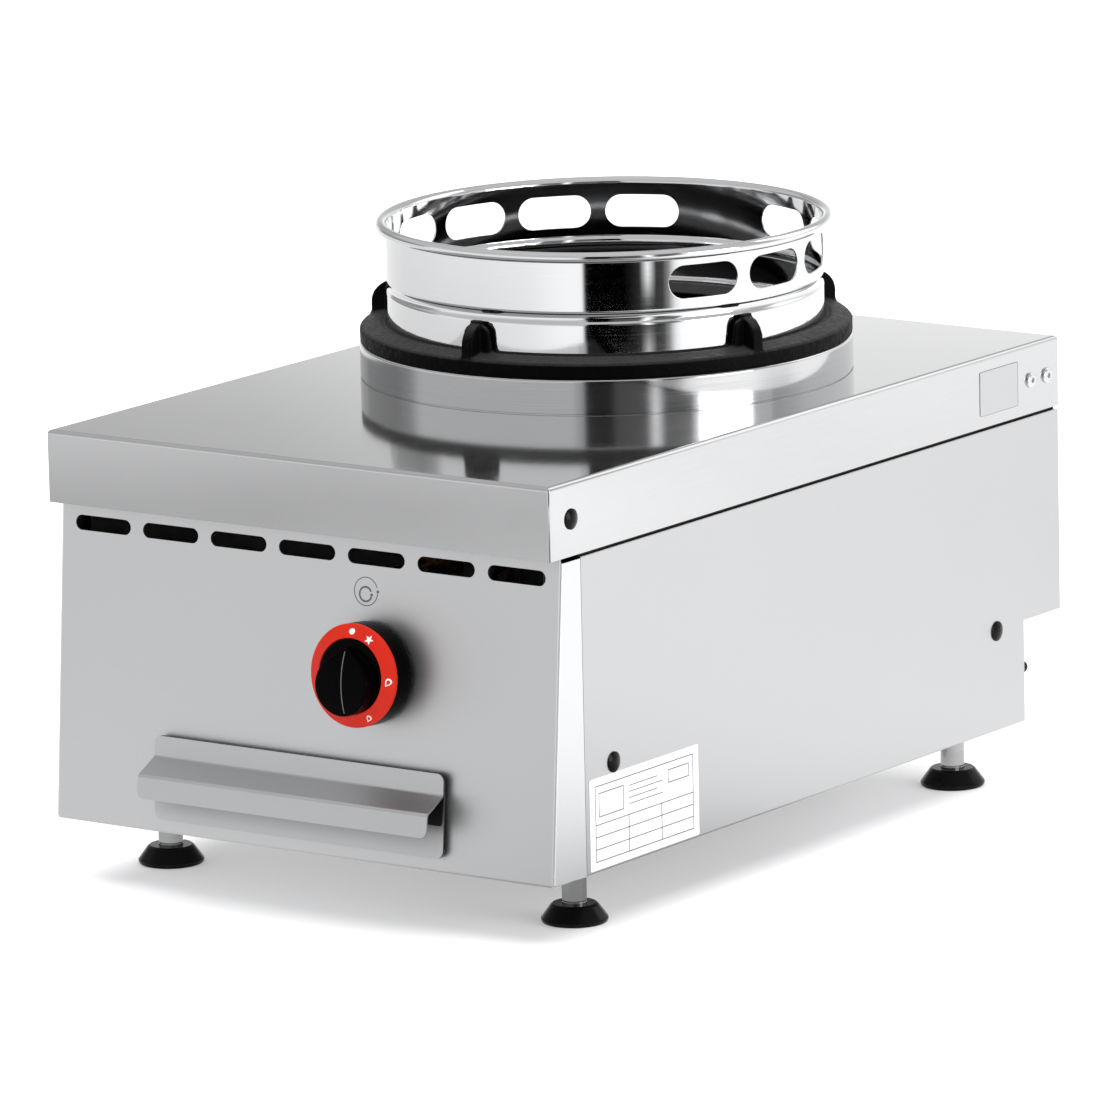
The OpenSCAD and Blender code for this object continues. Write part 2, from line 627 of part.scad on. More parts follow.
module wok_ring() {
  zb = collar_z + 11.5; zt = hob_z + 105; rr = 3.6;
  zg = hob_z + 60.35; gc = wok_r + 4.6;   // stiffening groove, pressed inward
  color("silver") placed() about_ring() difference() {
    rotate_extrude() difference() {
      union() {
        translate([wok_r - wok_t, zb + 2]) square([wok_t, zt - rr - zb - 2]);
        translate([wok_r + 2.8, zt - rr]) circle(rr);
        intersection() {
          translate([gc, zg]) circle(6 + wok_t);
          translate([wok_r - 5, zg - 8]) square([5 - wok_t/2, 16]);
        }
        translate([wok_r - 8, zb]) square([6, wok_t]);
        translate([wok_r - 2.4, zb + 2.4]) intersection() {
          difference() { circle(2.4); circle(1.2); }
          translate([-0.1, -3]) square([3, 3.1]);
        }
      }
      translate([gc, zg]) circle(6);
    }
    for (k = [1 : 5], i = [-1, 1]) rotate([0, 0, i*24*k + 0.9 - 0.6*i]) translate([0, wok_r - 12, hob_z + 82])
      rotate([-90, 0, 0]) linear_extrude(20) oblong(port_l, port_h);
  }
}

hob_top();
hob_collar();
front_panel();
side_panel_left();
side_panel_right();
rear_panel();
base_panel();
spill_bowl();
burner_bracket();
burner_body();
burner_bolts();
injector_holder();
injector();
supply_pipe();
gas_valve();
valve_nut();
gas_rail();
gas_inlet();
inlet_locknut();
pilot_bracket();
pilot_burner();
pilot_pipe();
thermocouple();
tray_runner_left();
tray_runner_right();
foot_studs();
foot_nuts();
side_plugs();
rear_caps();
hob_screws();
rear_screws();
badge_plate();
data_plate();
drip_tray();
tray_front();
tray_handle();
valve_plunger();
knob_spindle();
knob();
knob_ring();
pan_support_ring();
wok_ring();
burner_crown();
burner_cap();
foot_sleeve(-1, foot_y1);  // foot_sleeve_fl
foot_sleeve(1, foot_y1);  // foot_sleeve_fr
foot_sleeve(-1, foot_y2);  // foot_sleeve_rl
foot_sleeve(1, foot_y2);  // foot_sleeve_rr
foot_pad(-1, foot_y1);  // foot_pad_fl
foot_pad(1, foot_y1);  // foot_pad_fr
foot_pad(-1, foot_y2);  // foot_pad_rl
foot_pad(1, foot_y2);  // foot_pad_rr
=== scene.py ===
import math

import bmesh
import bpy
import numpy as np
from mathutils import Matrix, Vector
from mathutils.geometry import delaunay_2d_cdt


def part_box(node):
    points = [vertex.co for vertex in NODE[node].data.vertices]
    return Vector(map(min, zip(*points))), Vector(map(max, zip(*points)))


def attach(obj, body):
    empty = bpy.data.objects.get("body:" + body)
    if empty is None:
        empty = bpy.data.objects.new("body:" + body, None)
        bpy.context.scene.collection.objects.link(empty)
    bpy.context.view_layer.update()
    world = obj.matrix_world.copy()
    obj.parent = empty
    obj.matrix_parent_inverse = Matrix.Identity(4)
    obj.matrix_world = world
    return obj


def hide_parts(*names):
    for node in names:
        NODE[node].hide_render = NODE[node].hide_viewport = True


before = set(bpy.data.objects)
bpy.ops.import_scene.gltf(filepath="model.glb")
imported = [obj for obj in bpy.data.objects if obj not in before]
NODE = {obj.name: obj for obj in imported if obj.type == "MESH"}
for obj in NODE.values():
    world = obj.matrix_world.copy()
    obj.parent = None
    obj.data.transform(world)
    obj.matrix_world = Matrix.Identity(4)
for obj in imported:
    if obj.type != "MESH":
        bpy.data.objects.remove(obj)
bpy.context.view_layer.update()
SCENE = bpy.context.scene

# Lengths below are millimetres. Y is measured from the hob's front edge, X from the
# middle plane and Z from the floor; put() turns them into the frame's metres.
MM = 0.001
YM = -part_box("hob_top")[0].y / MM
RY = 352.7                       # burner centre
TILT = math.radians(4.45)        # slope of the front panel
SN, CS = math.sin(TILT), math.cos(TILT)
PAN_Y, PAN_Z = 13.2, 250.5       # top edge of the front panel
TRAY_S = 172.8
KNOB_X, KNOB_S = 54.7, 86.1


# ------------------------------------------------------------------ mesh helpers
def put(v):
    v = np.asarray(v, float).reshape(-1, 3)
    return np.column_stack((v[:, 0], v[:, 1] - YM, v[:, 2])) * MM


def on_panel(x, s, o):
    """Front panel's local frame: x right, s down the slope, o outwards."""
    x, s, o = np.broadcast_arrays(np.asarray(x, float), np.asarray(s, float), np.asarray(o, float))
    return np.stack((x, PAN_Y - s * SN - o * CS, PAN_Z - s * CS + o * SN), -1).reshape(-1, 3)


def about_ring(v):
    return np.asarray(v, float).reshape(-1, 3) + np.array([0.0, RY, 0.0])


def make(name, verts, faces, body, mats, replaces=(), doubles=0.0004, recalc=True,
         sharp=32.0, ids=None, bevel=None, solid=None, weighted=True, flat_area=None, outward=None):
    """One mesh piece from points in millimetres."""
    me = bpy.data.meshes.new(name)
    me.from_pydata(put(verts).tolist(), [], [tuple(int(i) for i in f) for f in faces])
    if me.validate():
        print("mended mesh", name)
    mats = mats if isinstance(mats, (list, tuple)) else [mats]
    for m in mats:
        me.materials.append(m)
    if ids is not None:
        me.polygons.foreach_set("material_index", np.asarray(ids, np.int32))
    bm = bmesh.new()
    bm.from_mesh(me)
    if doubles:
        bmesh.ops.remove_doubles(bm, verts=bm.verts, dist=doubles * MM)
    if recalc:
        bmesh.ops.recalc_face_normals(bm, faces=bm.faces)
    if outward is not None:
        way = Vector(outward)
        if sum(f.calc_area() * f.normal.dot(way) for f in bm.faces) < 0:
            bmesh.ops.reverse_faces(bm, faces=bm.faces)
    bm.to_mesh(me)
    bm.free()
    me.polygons.foreach_set("use_smooth", np.full(len(me.polygons), True))
    if sharp is not None:
        me.set_sharp_from_angle(angle=math.radians(sharp))
    me.update()
    ob = bpy.data.objects.new(name, me)
    SCENE.collection.objects.link(ob)
    if solid:
        m = ob.modifiers.new("sheet", "SOLIDIFY")
        m.thickness, m.offset, m.use_even_offset = solid * MM, -1.0, True
    if bevel:
        add_bevel(ob, bevel)
    if flat_area:
        crisp(ob, flat_area)
    elif weighted:
        add_weighted(ob)
    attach(ob, body)
    if replaces:
        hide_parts(*replaces)
    return ob


def add_bevel(ob, width, segments=2, angle=40.0):
    m = ob.modifiers.new("edge", "BEVEL")
    m.width, m.segments, m.limit_method = width * MM, segments, "ANGLE"
    m.angle_limit = math.radians(angle)
    m.harden_normals = False
    m.miter_outer = "MITER_ARC"
    m.use_clamp_overlap = True


def add_weighted(ob):
    m = ob.modifiers.new("normals", "WEIGHTED_NORMAL")
    m.keep_sharp, m.weight = True, 50


def crisp(ob, flat_area, sharp=40.0):
    """Applies the modifiers, then sets corner normals: flat patches stay flat and bends run into them."""
    dg = bpy.context.evaluated_depsgraph_get()
    me = bpy.data.meshes.new_from_object(ob.evaluated_get(dg))
    ob.modifiers.clear()
    old, ob.data = ob.data, me
    me.name = ob.name
    bpy.data.meshes.remove(old)
    bm = bmesh.new()
    bm.from_mesh(me)
    bm.faces.ensure_lookup_table()
    bm.normal_update()
    nor = [f.normal.copy() for f in bm.faces]
    root = list(range(len(nor)))

    def find(i):
        while root[i] != i:
            root[i] = root[root[i]]
            i = root[i]
        return i

    flat_cos, sharp_cos = math.cos(math.radians(0.25)), math.cos(math.radians(sharp))
    for e in bm.edges:
        if len(e.link_faces) == 2:
            a, b = (f.index for f in e.link_faces)
            if nor[a].dot(nor[b]) > flat_cos:
                root[find(a)] = find(b)
    area = {}
    for f in bm.faces:
        k = find(f.index)
        area[k] = area.get(k, 0.0) + f.calc_area()
    big = [area[find(i)] > flat_area * MM * MM for i in range(len(nor))]
    corner = {}
    for v in bm.verts:
        left = {f.index: f for f in v.link_faces}
        while left:
            stack = [left.popitem()[1]]
            fan = []
            while stack:
                f = stack.pop()
                fan.append(f)
                for e in f.edges:
                    if v in e.verts:
                        for g in e.link_faces:
                            if g.index in left and nor[g.index].dot(nor[f.index]) > sharp_cos:
                                stack.append(left.pop(g.index))
            flats = [nor[f.index] for f in fan if big[f.index]]
            mean = Vector()
            for f in fan:
                l = next(c for c in f.loops if c.vert == v)
                mean += nor[f.index] * l.calc_angle()
            mean = mean.normalized() if mean.length > 1e-9 else nor[fan[0].index]
            for f in fan:
                if big[f.index]:
                    n = nor[f.index]
                elif flats:
                    n = max(flats, key=lambda q: q.dot(nor[f.index]))
                else:
                    n = mean
                corner[(f.index, v.index)] = n
    bm.free()
    out = [(0.0, 0.0, 1.0)] * len(me.loops)
    for p in me.polygons:
        for l in p.loop_indices:
            out[l] = tuple(corner[(p.index, me.loops[l].vertex_index)])
    me.polygons.foreach_set("use_smooth", np.full(len(me.polygons), True))
    me.normals_split_custom_set(out)


def fillet(pts, rad, closed=True, step=12.0):
    """A polyline with its corners rounded to the radii given."""
    pts = [np.asarray(p, float) for p in pts]
    n, out = len(pts), []
    for i, p in enumerate(pts):
        r = rad[i] if hasattr(rad, "__len__") else rad
        if r <= 0 or (not closed and i in (0, n - 1)):
            out.append(p)
            continue
        a, b = pts[i - 1] - p, pts[(i + 1) % n] - p
        la, lb = np.linalg.norm(a), np.linalg.norm(b)
        a, b = a / la, b / lb
        ang = math.acos(float(np.clip(a @ b, -1, 1)))
        if math.pi - ang < 1e-3:
            out.append(p)
            continue
        d = r / math.tan(ang / 2)
        lim = 0.4995 * min(la, lb)
        if d > lim:
            d, r = lim, lim * math.tan(ang / 2)
        t1, t2 = p + a * d, p + b * d
        mid = a + b
        c = p + mid / np.linalg.norm(mid) * (r / math.sin(ang / 2))
        a1 = math.atan2(t1[1] - c[1], t1[0] - c[0])
        da = (math.atan2(t2[1] - c[1], t2[0] - c[0]) - a1 + math.pi) % (2 * math.pi) - math.pi
        k = max(2, math.ceil(abs(math.degrees(da)) / step))
        for j in range(k + 1):
            w = a1 + da * j / k
            out.append(c + r * np.array([math.cos(w), math.sin(w)]))
    return np.array(out)


def rrect(w, h, r, seg=8):
    return fillet([(-w / 2, -h / 2), (w / 2, -h / 2), (w / 2, h / 2), (-w / 2, h / 2)], r, True, 90.0 / seg)


def oblong(l, h, seg=14):
    r, c = h / 2, l / 2 - h / 2
    a = np.linspace(-math.pi / 2, math.pi / 2, seg + 1)
    right = np.column_stack((c + r * np.cos(a), r * np.sin(a)))
    return np.vstack((right, -right))


def circle(r, n, cx=0.0, cy=0.0, a0=0.0):
    a = a0 + np.linspace(0, 2 * math.pi, n, endpoint=False)
    return np.column_stack((cx + r * np.cos(a), cy + r * np.sin(a)))


def fill(loops):
    """Triangles of a flat outline with holes: (points, faces)."""
    flat = np.vstack(loops)
    edges, k = [], 0
    for l in loops:
        n = len(l)
        edges += [(k + i, k + (i + 1) % n) for i in range(n)]
        k += n
    _, _, tris, ids, _, _ = delaunay_2d_cdt([Vector(p) for p in flat.tolist()], edges, [], 0, 1e-5)
    tri = np.array([[ids[i][0] for i in t] for t in tris])
    cx, cy = flat[tri].mean(1).T
    inside = np.zeros(len(tri), bool)
    for i, j in edges:
        (x0, y0), (x1, y1) = flat[i], flat[j]
        if y0 != y1:
            inside ^= ((y0 > cy) != (y1 > cy)) & (cx < x0 + (cy - y0) * (x1 - x0) / (y1 - y0))
    return flat, [tuple(int(i) for i in t) for t in tri[inside]]


def slab(loops, z0, z1):
    """Closed solid from a flat outline with holes, between two heights."""
    flat, tris = fill(loops)
    n = len(flat)
    v = np.vstack((np.column_stack((flat, np.full(n, z0))), np.column_stack((flat, np.full(n, z1)))))
    f = [t for t in tris] + [tuple(i + n for i in reversed(t)) for t in tris]
    k = 0
    for l in loops:
        m = len(l)
        for i in range(m):
            a, b = k + i, k + (i + 1) % m
            f.append((a, b, b + n, a + n))
        k += m
    return v, f


def lathe(prof, n, closed=True):
    """Turned solid about Z. Points on the axis become one point."""
    prof = np.asarray(prof, float)
    a = np.linspace(0, 2 * math.pi, n, endpoint=False)
    ca, sa = np.cos(a), np.sin(a)
    verts, rows = [], []
    for r, z in prof:
        if r < 1e-6:
            rows.append([len(verts)] * n)
            verts.append((0.0, 0.0, z))
        else:
            rows.append(list(range(len(verts), len(verts) + n)))
            verts.extend(zip(r * ca, r * sa, np.full(n, z)))
    faces = []
    m = len(prof)
    for i in range(m if closed else m - 1):
        p, q = rows[i], rows[(i + 1) % m]
        if p[0] == p[-1] and q[0] == q[-1]:
            continue
        for j in range(n):
            k = (j + 1) % n
            f = [p[j], p[k], q[k], q[j]]
            f = [x for x, y in zip(f, f[1:] + f[:1]) if x != y]
            if len(f) > 2:
                faces.append(tuple(f))
    return np.array(verts), faces


def loft(rings, cap0=True, cap1=True):
    """Skin through rings of the same count of points (x, y, z)."""
    n = len(rings[0])
    verts = np.vstack(rings)
    faces = []
    for i in range(len(rings) - 1):
        for j in range(n):
            k = (j + 1) % n
            faces.append((i * n + j, i * n + k, (i + 1) * n + k, (i + 1) * n + j))
    if cap0:
        faces.append(tuple(reversed(range(n))))
    if cap1:
        faces.append(tuple(range((len(rings) - 1) * n, len(rings) * n)))
    return verts, faces


def turned(v, origin, axis):
    """Moves a solid made about Z so that its Z lies along axis at origin."""
    az = Vector(axis).normalized()
    up = Vector((0, 0, 1)) if abs(az.z) < 0.9 else Vector((1, 0, 0))
    ax = up.cross(az).normalized()
    ay = az.cross(ax)
    m = np.array([list(ax), list(ay), list(az)])
    return np.asarray(v, float) @ m + np.asarray(origin, float)


def joined(parts):
    vs, fs, k = [], [], 0
    for v, f in parts:
        v = np.asarray(v, float).reshape(-1, 3)
        vs.append(v)
        fs += [tuple(i + k for i in g) for g in f]
        k += len(v)
    return np.vstack(vs), fs


def lattice(seed, n=32):
    return np.random.RandomState(seed).rand(n, n, n).astype(np.float32)


LATS = [lattice(11), lattice(23), lattice(37)]


def value_noise(x, y, z, size, k):
    """Smooth noise from -1 to 1 with features of the size given."""
    lat = LATS[k]
    n = lat.shape[0]
    out = 0
    ix, iy, iz = np.floor(x / size), np.floor(y / size), np.floor(z / size)
    fx, fy, fz = x / size - ix, y / size - iy, z / size - iz
    fx, fy, fz = (t * t * (3 - 2 * t) for t in (fx, fy, fz))
    ix, iy, iz = (t.astype(np.int32) % n for t in (ix, iy, iz))
    for a in (0, 1):
        for b in (0, 1):
            for c in (0, 1):
                w = (fx if a else 1 - fx) * (fy if b else 1 - fy) * (fz if c else 1 - fz)
                out = out + w * lat[(ix + a) % n, (iy + b) % n, (iz + c) % n]
    return out * 2 - 1


def smax(a, b, k):
    h = np.clip(0.5 - 0.5 * (b - a) / k, 0, 1)
    return b + (a - b) * h + k * h * (1 - h)


def smin(a, b, k):
    return -smax(-a, -b, k)


def poly_dist(pts, x, y):
    """Signed distance to a closed polygon, negative inside."""
    pts = np.asarray(pts, np.float32)
    d = np.full(x.shape, 1e9, np.float32)
    s = np.ones(x.shape, np.float32)
    n = len(pts)
    for i in range(n):
        a, b = pts[i], pts[i - 1]
        ex, ey = b[0] - a[0], b[1] - a[1]
        wx, wy = x - a[0], y - a[1]
        t = np.clip((wx * ex + wy * ey) / (ex * ex + ey * ey), 0, 1)
        d = np.minimum(d, (wx - ex * t) ** 2 + (wy - ey * t) ** 2)
        c1, c2, c3 = y >= a[1], y < b[1], ex * wy > ey * wx
        flip = (c1 & c2 & c3) | (~c1 & ~c2 & ~c3)
        s = np.where(flip, -s, s)
    return s * np.sqrt(d)


def surface_net(f, lo, hi, h, steps=2):
    """Closed quad mesh of the surface where f is zero: (points, quads)."""
    lo = np.asarray(lo, float)
    n = np.ceil((np.asarray(hi, float) - lo) / h).astype(int) + 1
    g = [(lo[i] + h * np.arange(n[i])).astype(np.float32) for i in range(3)]
    d = f(*np.meshgrid(*g, indexing="ij"))
    s = d < 0
    corner = [(a, b, c) for a in (0, 1) for b in (0, 1) for c in (0, 1)]

    def shifted(arr, o):
        return arr[tuple(slice(k, arr.shape[i] - 1 + k) for i, k in enumerate(o))]

    cnt = sum(shifted(s, o).astype(np.int8) for o in corner)
    act = (cnt > 0) & (cnt < 8)
    ijk = np.argwhere(act)
    idx = np.full(act.shape, -1, np.int64)
    idx[act] = np.arange(len(ijk))
    pos, num = np.zeros((len(ijk), 3)), np.zeros(len(ijk))
    for a in corner:
        for ax in range(3):
            if a[ax]:
                continue
            b = list(a)
            b[ax] = 1
            da, db = d[tuple((ijk + a).T)], d[tuple((ijk + b).T)]
            m = (da < 0) != (db < 0)
            t = np.where(m, da / np.where(m, da - db, 1), 0)
            p = np.array(a, float)[None, :] + t[:, None] * (np.array(b) - np.array(a))[None, :]
            pos[m] += p[m]
            num[m] += 1
    v = lo + h * (ijk + pos / num[:, None])
    for _ in range(steps):
        dv, gr = f(*v.T), gradient(f, v, 0.05)
        v = v - np.clip(dv, -0.5 * h, 0.5 * h)[:, None] * gr
    quads = []
    for ax in range(3):
        lo_s = [slice(1, -1)] * 3
        lo_s[ax] = slice(0, -1)
        hi_s = list(lo_s)
        hi_s[ax] = slice(1, None)
        s0, s1 = s[tuple(lo_s)], s[tuple(hi_s)]
        at = np.argwhere(s0 != s1)
        inside = s0[s0 != s1]
        base = at + np.array([0 if k == ax else 1 for k in range(3)])
        u, w = [k for k in range(3) if k != ax]
        q = []
        for du, dw in ((-1, -1), (0, -1), (0, 0), (-1, 0)):
            c = base.copy()
            c[:, u] += du
            c[:, w] += dw
            q.append(idx[tuple(c.T)])
        q = np.stack(q, 1)
        if ax == 1:
            inside = ~inside
        q[~inside] = q[~inside][:, ::-1]
        quads.append(q)
    return v, np.vstack(quads)


def gradient(f, v, e):
    g = np.stack([f(*(v + e * np.eye(3)[k]).T) - f(*(v - e * np.eye(3)[k]).T) for k in range(3)], 1)
    return g / np.maximum(np.linalg.norm(g, axis=1, keepdims=True), 1e-9)


# ------------------------------------------------------------------ materials
def shader(name, base, metallic, rough, **extra):
    m = bpy.data.materials.new(name)
    m.use_nodes = True
    nt = m.node_tree
    nt.nodes.clear()
    out = nt.nodes.new("ShaderNodeOutputMaterial")
    p = nt.nodes.new("ShaderNodeBsdfPrincipled")
    nt.links.new(p.outputs["BSDF"], out.inputs["Surface"])
    p.inputs["Base Color"].default_value = (*base, 1.0)
    p.inputs["Metallic"].default_value = metallic
    p.inputs["Roughness"].default_value = rough
    for k, val in extra.items():
        p.inputs[k.replace("_", " ")].default_value = val
    return m, nt, p


def noise(nt, stretch, detail=3.0, rough=0.55, shift=0.0):
    """Noise in the piece's own coordinates; stretch is features per metre along X, Y, Z."""
    tc = nt.nodes.new("ShaderNodeTexCoord")
    mp = nt.nodes.new("ShaderNodeMapping")
    mp.inputs["Location"].default_value = (shift, shift * 1.7, shift * 0.6)
    mp.inputs["Scale"].default_value = stretch
    nz = nt.nodes.new("ShaderNodeTexNoise")
    nz.inputs["Scale"].default_value = 1.0
    nz.inputs["Detail"].default_value = detail
    nz.inputs["Roughness"].default_value = rough
    nt.links.new(tc.outputs["Object"], mp.inputs["Vector"])
    nt.links.new(mp.outputs["Vector"], nz.inputs["Vector"])
    return nz.outputs["Fac"]


def remap(nt, fac, lo, hi, a=0.3, b=0.7):
    n = nt.nodes.new("ShaderNodeMapRange")
    n.inputs["From Min"].default_value, n.inputs["From Max"].default_value = a, b
    n.inputs["To Min"].default_value, n.inputs["To Max"].default_value = lo, hi
    nt.links.new(fac, n.inputs["Value"])
    return n.outputs["Result"]


def ramp(nt, fac, stops):
    n = nt.nodes.new("ShaderNodeValToRGB")
    el = n.color_ramp.elements
    while len(el) < len(stops):
        el.new(0.5)
    for e, (x, c) in zip(el, stops):
        e.position, e.color = x, (*c, 1.0)
    nt.links.new(fac, n.inputs["Fac"])
    return n.outputs["Color"]


def blend_math(nt, a, b, wa=0.5, op="MULTIPLY_ADD"):
    """a * wa + b."""
    n = nt.nodes.new("ShaderNodeMath")
    n.operation = op
    n.inputs[1].default_value = wa
    nt.links.new(a, n.inputs[0])
    nt.links.new(b, n.inputs[2])
    return n.outputs["Value"]


def bump(nt, p, height, strength, dist):
    n = nt.nodes.new("ShaderNodeBump")
    n.inputs["Strength"].default_value = strength
    n.inputs["Distance"].default_value = dist
    nt.links.new(height, n.inputs["Height"])
    nt.links.new(n.outputs["Normal"], p.inputs["Normal"])


def grey(v, tint=(0.992, 0.998, 1.010)):
    return tuple(v * t for t in tint)


def brushed(name, base, rough, grain, colour=0.05, spread=0.05, strength=0.04, smudge=0.03, **extra):
    """Brushed stainless sheet: fine lines along the long axis of the stretch, faint handling marks."""
    m, nt, p = shader(name, grey(base), 1.0, rough, **extra)
    lines = noise(nt, grain, 3.0, 0.6)
    cloud = noise(nt, (9.0, 9.0, 9.0), 4.0, 0.6, 3.0)
    mix = blend_math(nt, cloud, lines, 0.6)
    nt.links.new(ramp(nt, mix, [(0.55, grey(base * (1 - colour))), (1.05 / 1.05, grey(base * (1 + colour)))]),
                 p.inputs["Base Color"])
    r = blend_math(nt, remap(nt, cloud, -smudge, smudge), remap(nt, lines, rough - spread, rough + spread), 1.0)
    nt.links.new(r, p.inputs["Roughness"])
    if strength:
        bump(nt, p, lines, strength, 0.0002)
    return m


def painted_shade_under_folds(m, reach):
    """The same sheet with painted shade: its colour is darkened by ambient occlusion where a fold stands over it."""
    nt = m.node_tree
    p = next(n for n in nt.nodes if n.type == "BSDF_PRINCIPLED")
    for d in reach:
        ao = nt.nodes.new("ShaderNodeAmbientOcclusion")
        ao.samples = 8
        ao.inputs["Distance"].default_value = d
        nt.links.new(p.inputs["Base Color"].links[0].from_socket, ao.inputs["Color"])
        nt.links.new(ao.outputs["Color"], p.inputs["Base Color"])
    return m


M = {}
M["hob"] = brushed("hob_steel", 0.57, 0.085, (1500, 20, 1500), 0.02, 0.02, 0.004, 0.012, Metallic=0.975)
M["collar"] = brushed("collar_steel", 0.57, 0.11, (10, 10, 1800), 0.045, 0.04, 0.010, 0.02)
M["panel"] = brushed("panel_steel", 0.60, 0.44, (24, 2300, 2300), 0.022, 0.03, 0.008, 0.015)
# A paler copy of the panel steel for the side returns: painted light, with the grain turned upright.
M["return"] = brushed("return_steel_painted_light", 0.72, 0.36, (2300, 2300, 24), 0.02, 0.03, 0.008, 0.015)
M["side"] = brushed("side_steel", 0.55, 0.40, (2300, 24, 2300), 0.02, 0.03, 0.008, 0.015)
M["inner"] = brushed("inner_steel", 0.50, 0.38, (14, 900, 900), 0.05, 0.05, 0.02, 0.04)
# Near-black steel on hidden flanges in the joints and on the strip behind the tray handle: painted shade.
M["gap"] = brushed("joint_shade", 0.03, 0.55, (24, 900, 900), 0.15, 0.05, 0.01, 0.03)
# Tray steel with painted shade: ambient occlusion darkens its colour under and behind the handle.
M["tray"] = painted_shade_under_folds(brushed("tray_steel_painted_shade", 0.56, 0.44, (24, 2300, 2300), 0.022, 0.03, 0.008, 0.015), (0.032, 0.017, 0.017))
# Lit and shaded copies of the tray steel: a darker one for the handle's upright faces and a paler one for its upward
# slope, as painted light from above.
M["lip"] = brushed("lip_steel", 0.53, 0.44, (24, 2300, 2300), 0.022, 0.03, 0.008, 0.015)
M["fold"] = brushed("slope_steel_painted_light", 0.65, 0.44, (24, 2300, 2300), 0.022, 0.03, 0.008, 0.015)
M["polished"] = brushed("polished_steel", 0.75, 0.06, (14, 14, 1700), 0.02, 0.025, 0.004, 0.015)
M["fastener"] = brushed("fastener_steel", 0.68, 0.24, (600, 600, 600), 0.05, 0.05, 0.02, 0.03)
M["sleeve"] = brushed("sleeve_steel", 0.40, 0.12, (24, 24, 1700), 0.05, 0.05, 0.02, 0.02)
M["badge"] = brushed("badge_steel", 0.55, 0.34, (2300, 24, 2300), 0.02, 0.03, 0.008, 0.015)


def cast_iron(name, base, rough, shine=0.2, painted_top_light=0.0):
    """Cast iron or enamel; the last argument makes the faces that look up paler by that much, as painted light from
    above.
    """
    m, nt, p = shader(name, (base,) * 3, 0.0, rough, Specular_IOR_Level=shine)
    fine = noise(nt, (900, 900, 900), 4.0, 0.65)
    mid = noise(nt, (230, 230, 230), 3.0, 0.6, 2.0)
    broad = noise(nt, (28, 28, 28), 3.0, 0.55, 5.0)
    h = blend_math(nt, mid, fine, 0.8)
    mix = blend_math(nt, broad, h, 0.6)
    if painted_top_light:
        geo = nt.nodes.new("ShaderNodeNewGeometry")
        sep = nt.nodes.new("ShaderNodeSeparateXYZ")
        nt.links.new(geo.outputs["Normal"], sep.inputs["Vector"])
        mix = blend_math(nt, mix, remap(nt, sep.outputs["Z"], 0.06, 0.72, 0.0, 1.0), 0.22)
        top = base + painted_top_light
        stops = [(0.30, (base * 0.8,) * 3), (0.55, (base * 1.2,) * 3), (1.0, (top * 0.8,) * 3)]
    else:
        stops = [(0.62, (base * 0.65,) * 3), (0.95, (base * 1.05, base * 1.05, base * 1.08)),
                 (1.0, (base * 1.9, base * 1.9, base * 1.95))]
    nt.links.new(ramp(nt, mix, stops), p.inputs["Base Color"])
    nt.links.new(remap(nt, mid, rough - 0.12, rough + 0.14), p.inputs["Roughness"])
    bump(nt, p, h, 0.5, 0.0007)
    return m


# Faces of the iron ring that look up are paler: painted light from above.
M["iron"] = cast_iron("cast_iron", 0.0006, 0.47, 0.06, 0.034)
M["cap"] = cast_iron("cap_black", 0.005, 0.50)
M["enamel"] = cast_iron("bowl_enamel", 0.0025, 0.34)


def plastic(name, base, rough, grain=1200.0, strength=0.05, colour=0.12, **extra):
    m, nt, p = shader(name, base, 0.0, rough, **extra)
    fine = noise(nt, (grain,) * 3, 2.0, 0.5)
    cloud = noise(nt, (40.0,) * 3, 3.0, 0.55, 4.0)
    nt.links.new(ramp(nt, cloud, [(0.3, tuple(c * (1 - colour) for c in base)),
                                  (0.7, tuple(min(1.0, c * (1 + colour)) for c in base))]), p.inputs["Base Color"])
    nt.links.new(remap(nt, blend_math(nt, cloud, fine, 0.7), rough - 0.06, rough + 0.06, 0.6, 1.1),
                 p.inputs["Roughness"])
    bump(nt, p, fine, strength, 0.0001)
    return m


M["knob"] = plastic("knob_black", (0.0005, 0.0005, 0.0006), 0.26, Specular_IOR_Level=0.03)
M["red"] = plastic("knob_red", (0.53, 0.019, 0.008), 0.36, 900.0, 0.04, 0.06, Specular_IOR_Level=0.12)
M["white"] = plastic("dial_white", (0.72, 0.72, 0.71), 0.45, 900.0, 0.03, 0.03)
M["line"] = plastic("grip_line", (0.11, 0.11, 0.115), 0.40, 900.0, 0.03, 0.05)
M["plug"] = plastic("plug_black", (0.001, 0.001, 0.0013), 0.16, 1500.0, 0.03, Specular_IOR_Level=0.14)
M["foot"] = plastic("foot_black", (0.0007, 0.0007, 0.0009), 0.22, 900.0, 0.04, Specular_IOR_Level=0.14)
M["label"] = plastic("label_white", (0.74, 0.742, 0.745), 0.42, 1600.0, 0.02, 0.015)
M["ink"] = plastic("label_ink", (0.09, 0.09, 0.10), 0.55, 1600.0, 0.02, 0.15)
M["mark"] = plastic("panel_ink", (0.10, 0.10, 0.105), 0.50, 1600.0, 0.02, 0.15)


def warm_metal(name, base, dark, rough):
    m, nt, p = shader(name, base, 1.0, rough)
    cloud = noise(nt, (70, 70, 70), 4.0, 0.6)
    fine = noise(nt, (800, 800, 800), 3.0, 0.6, 2.0)
    nt.links.new(ramp(nt, cloud, [(0.32, dark), (0.62, base)]), p.inputs["Base Color"])
    nt.links.new(remap(nt, blend_math(nt, cloud, fine, 0.7), rough + 0.1, rough - 0.06, 0.6, 1.1), p.inputs["Roughness"])
    bump(nt, p, fine, 0.05, 0.0002)
    return m


M["brass"] = warm_metal("brass", (0.72, 0.50, 0.22), (0.46, 0.31, 0.13), 0.30)
M["copper"] = warm_metal("copper_tube", (0.70, 0.36, 0.22), (0.42, 0.21, 0.13), 0.30)


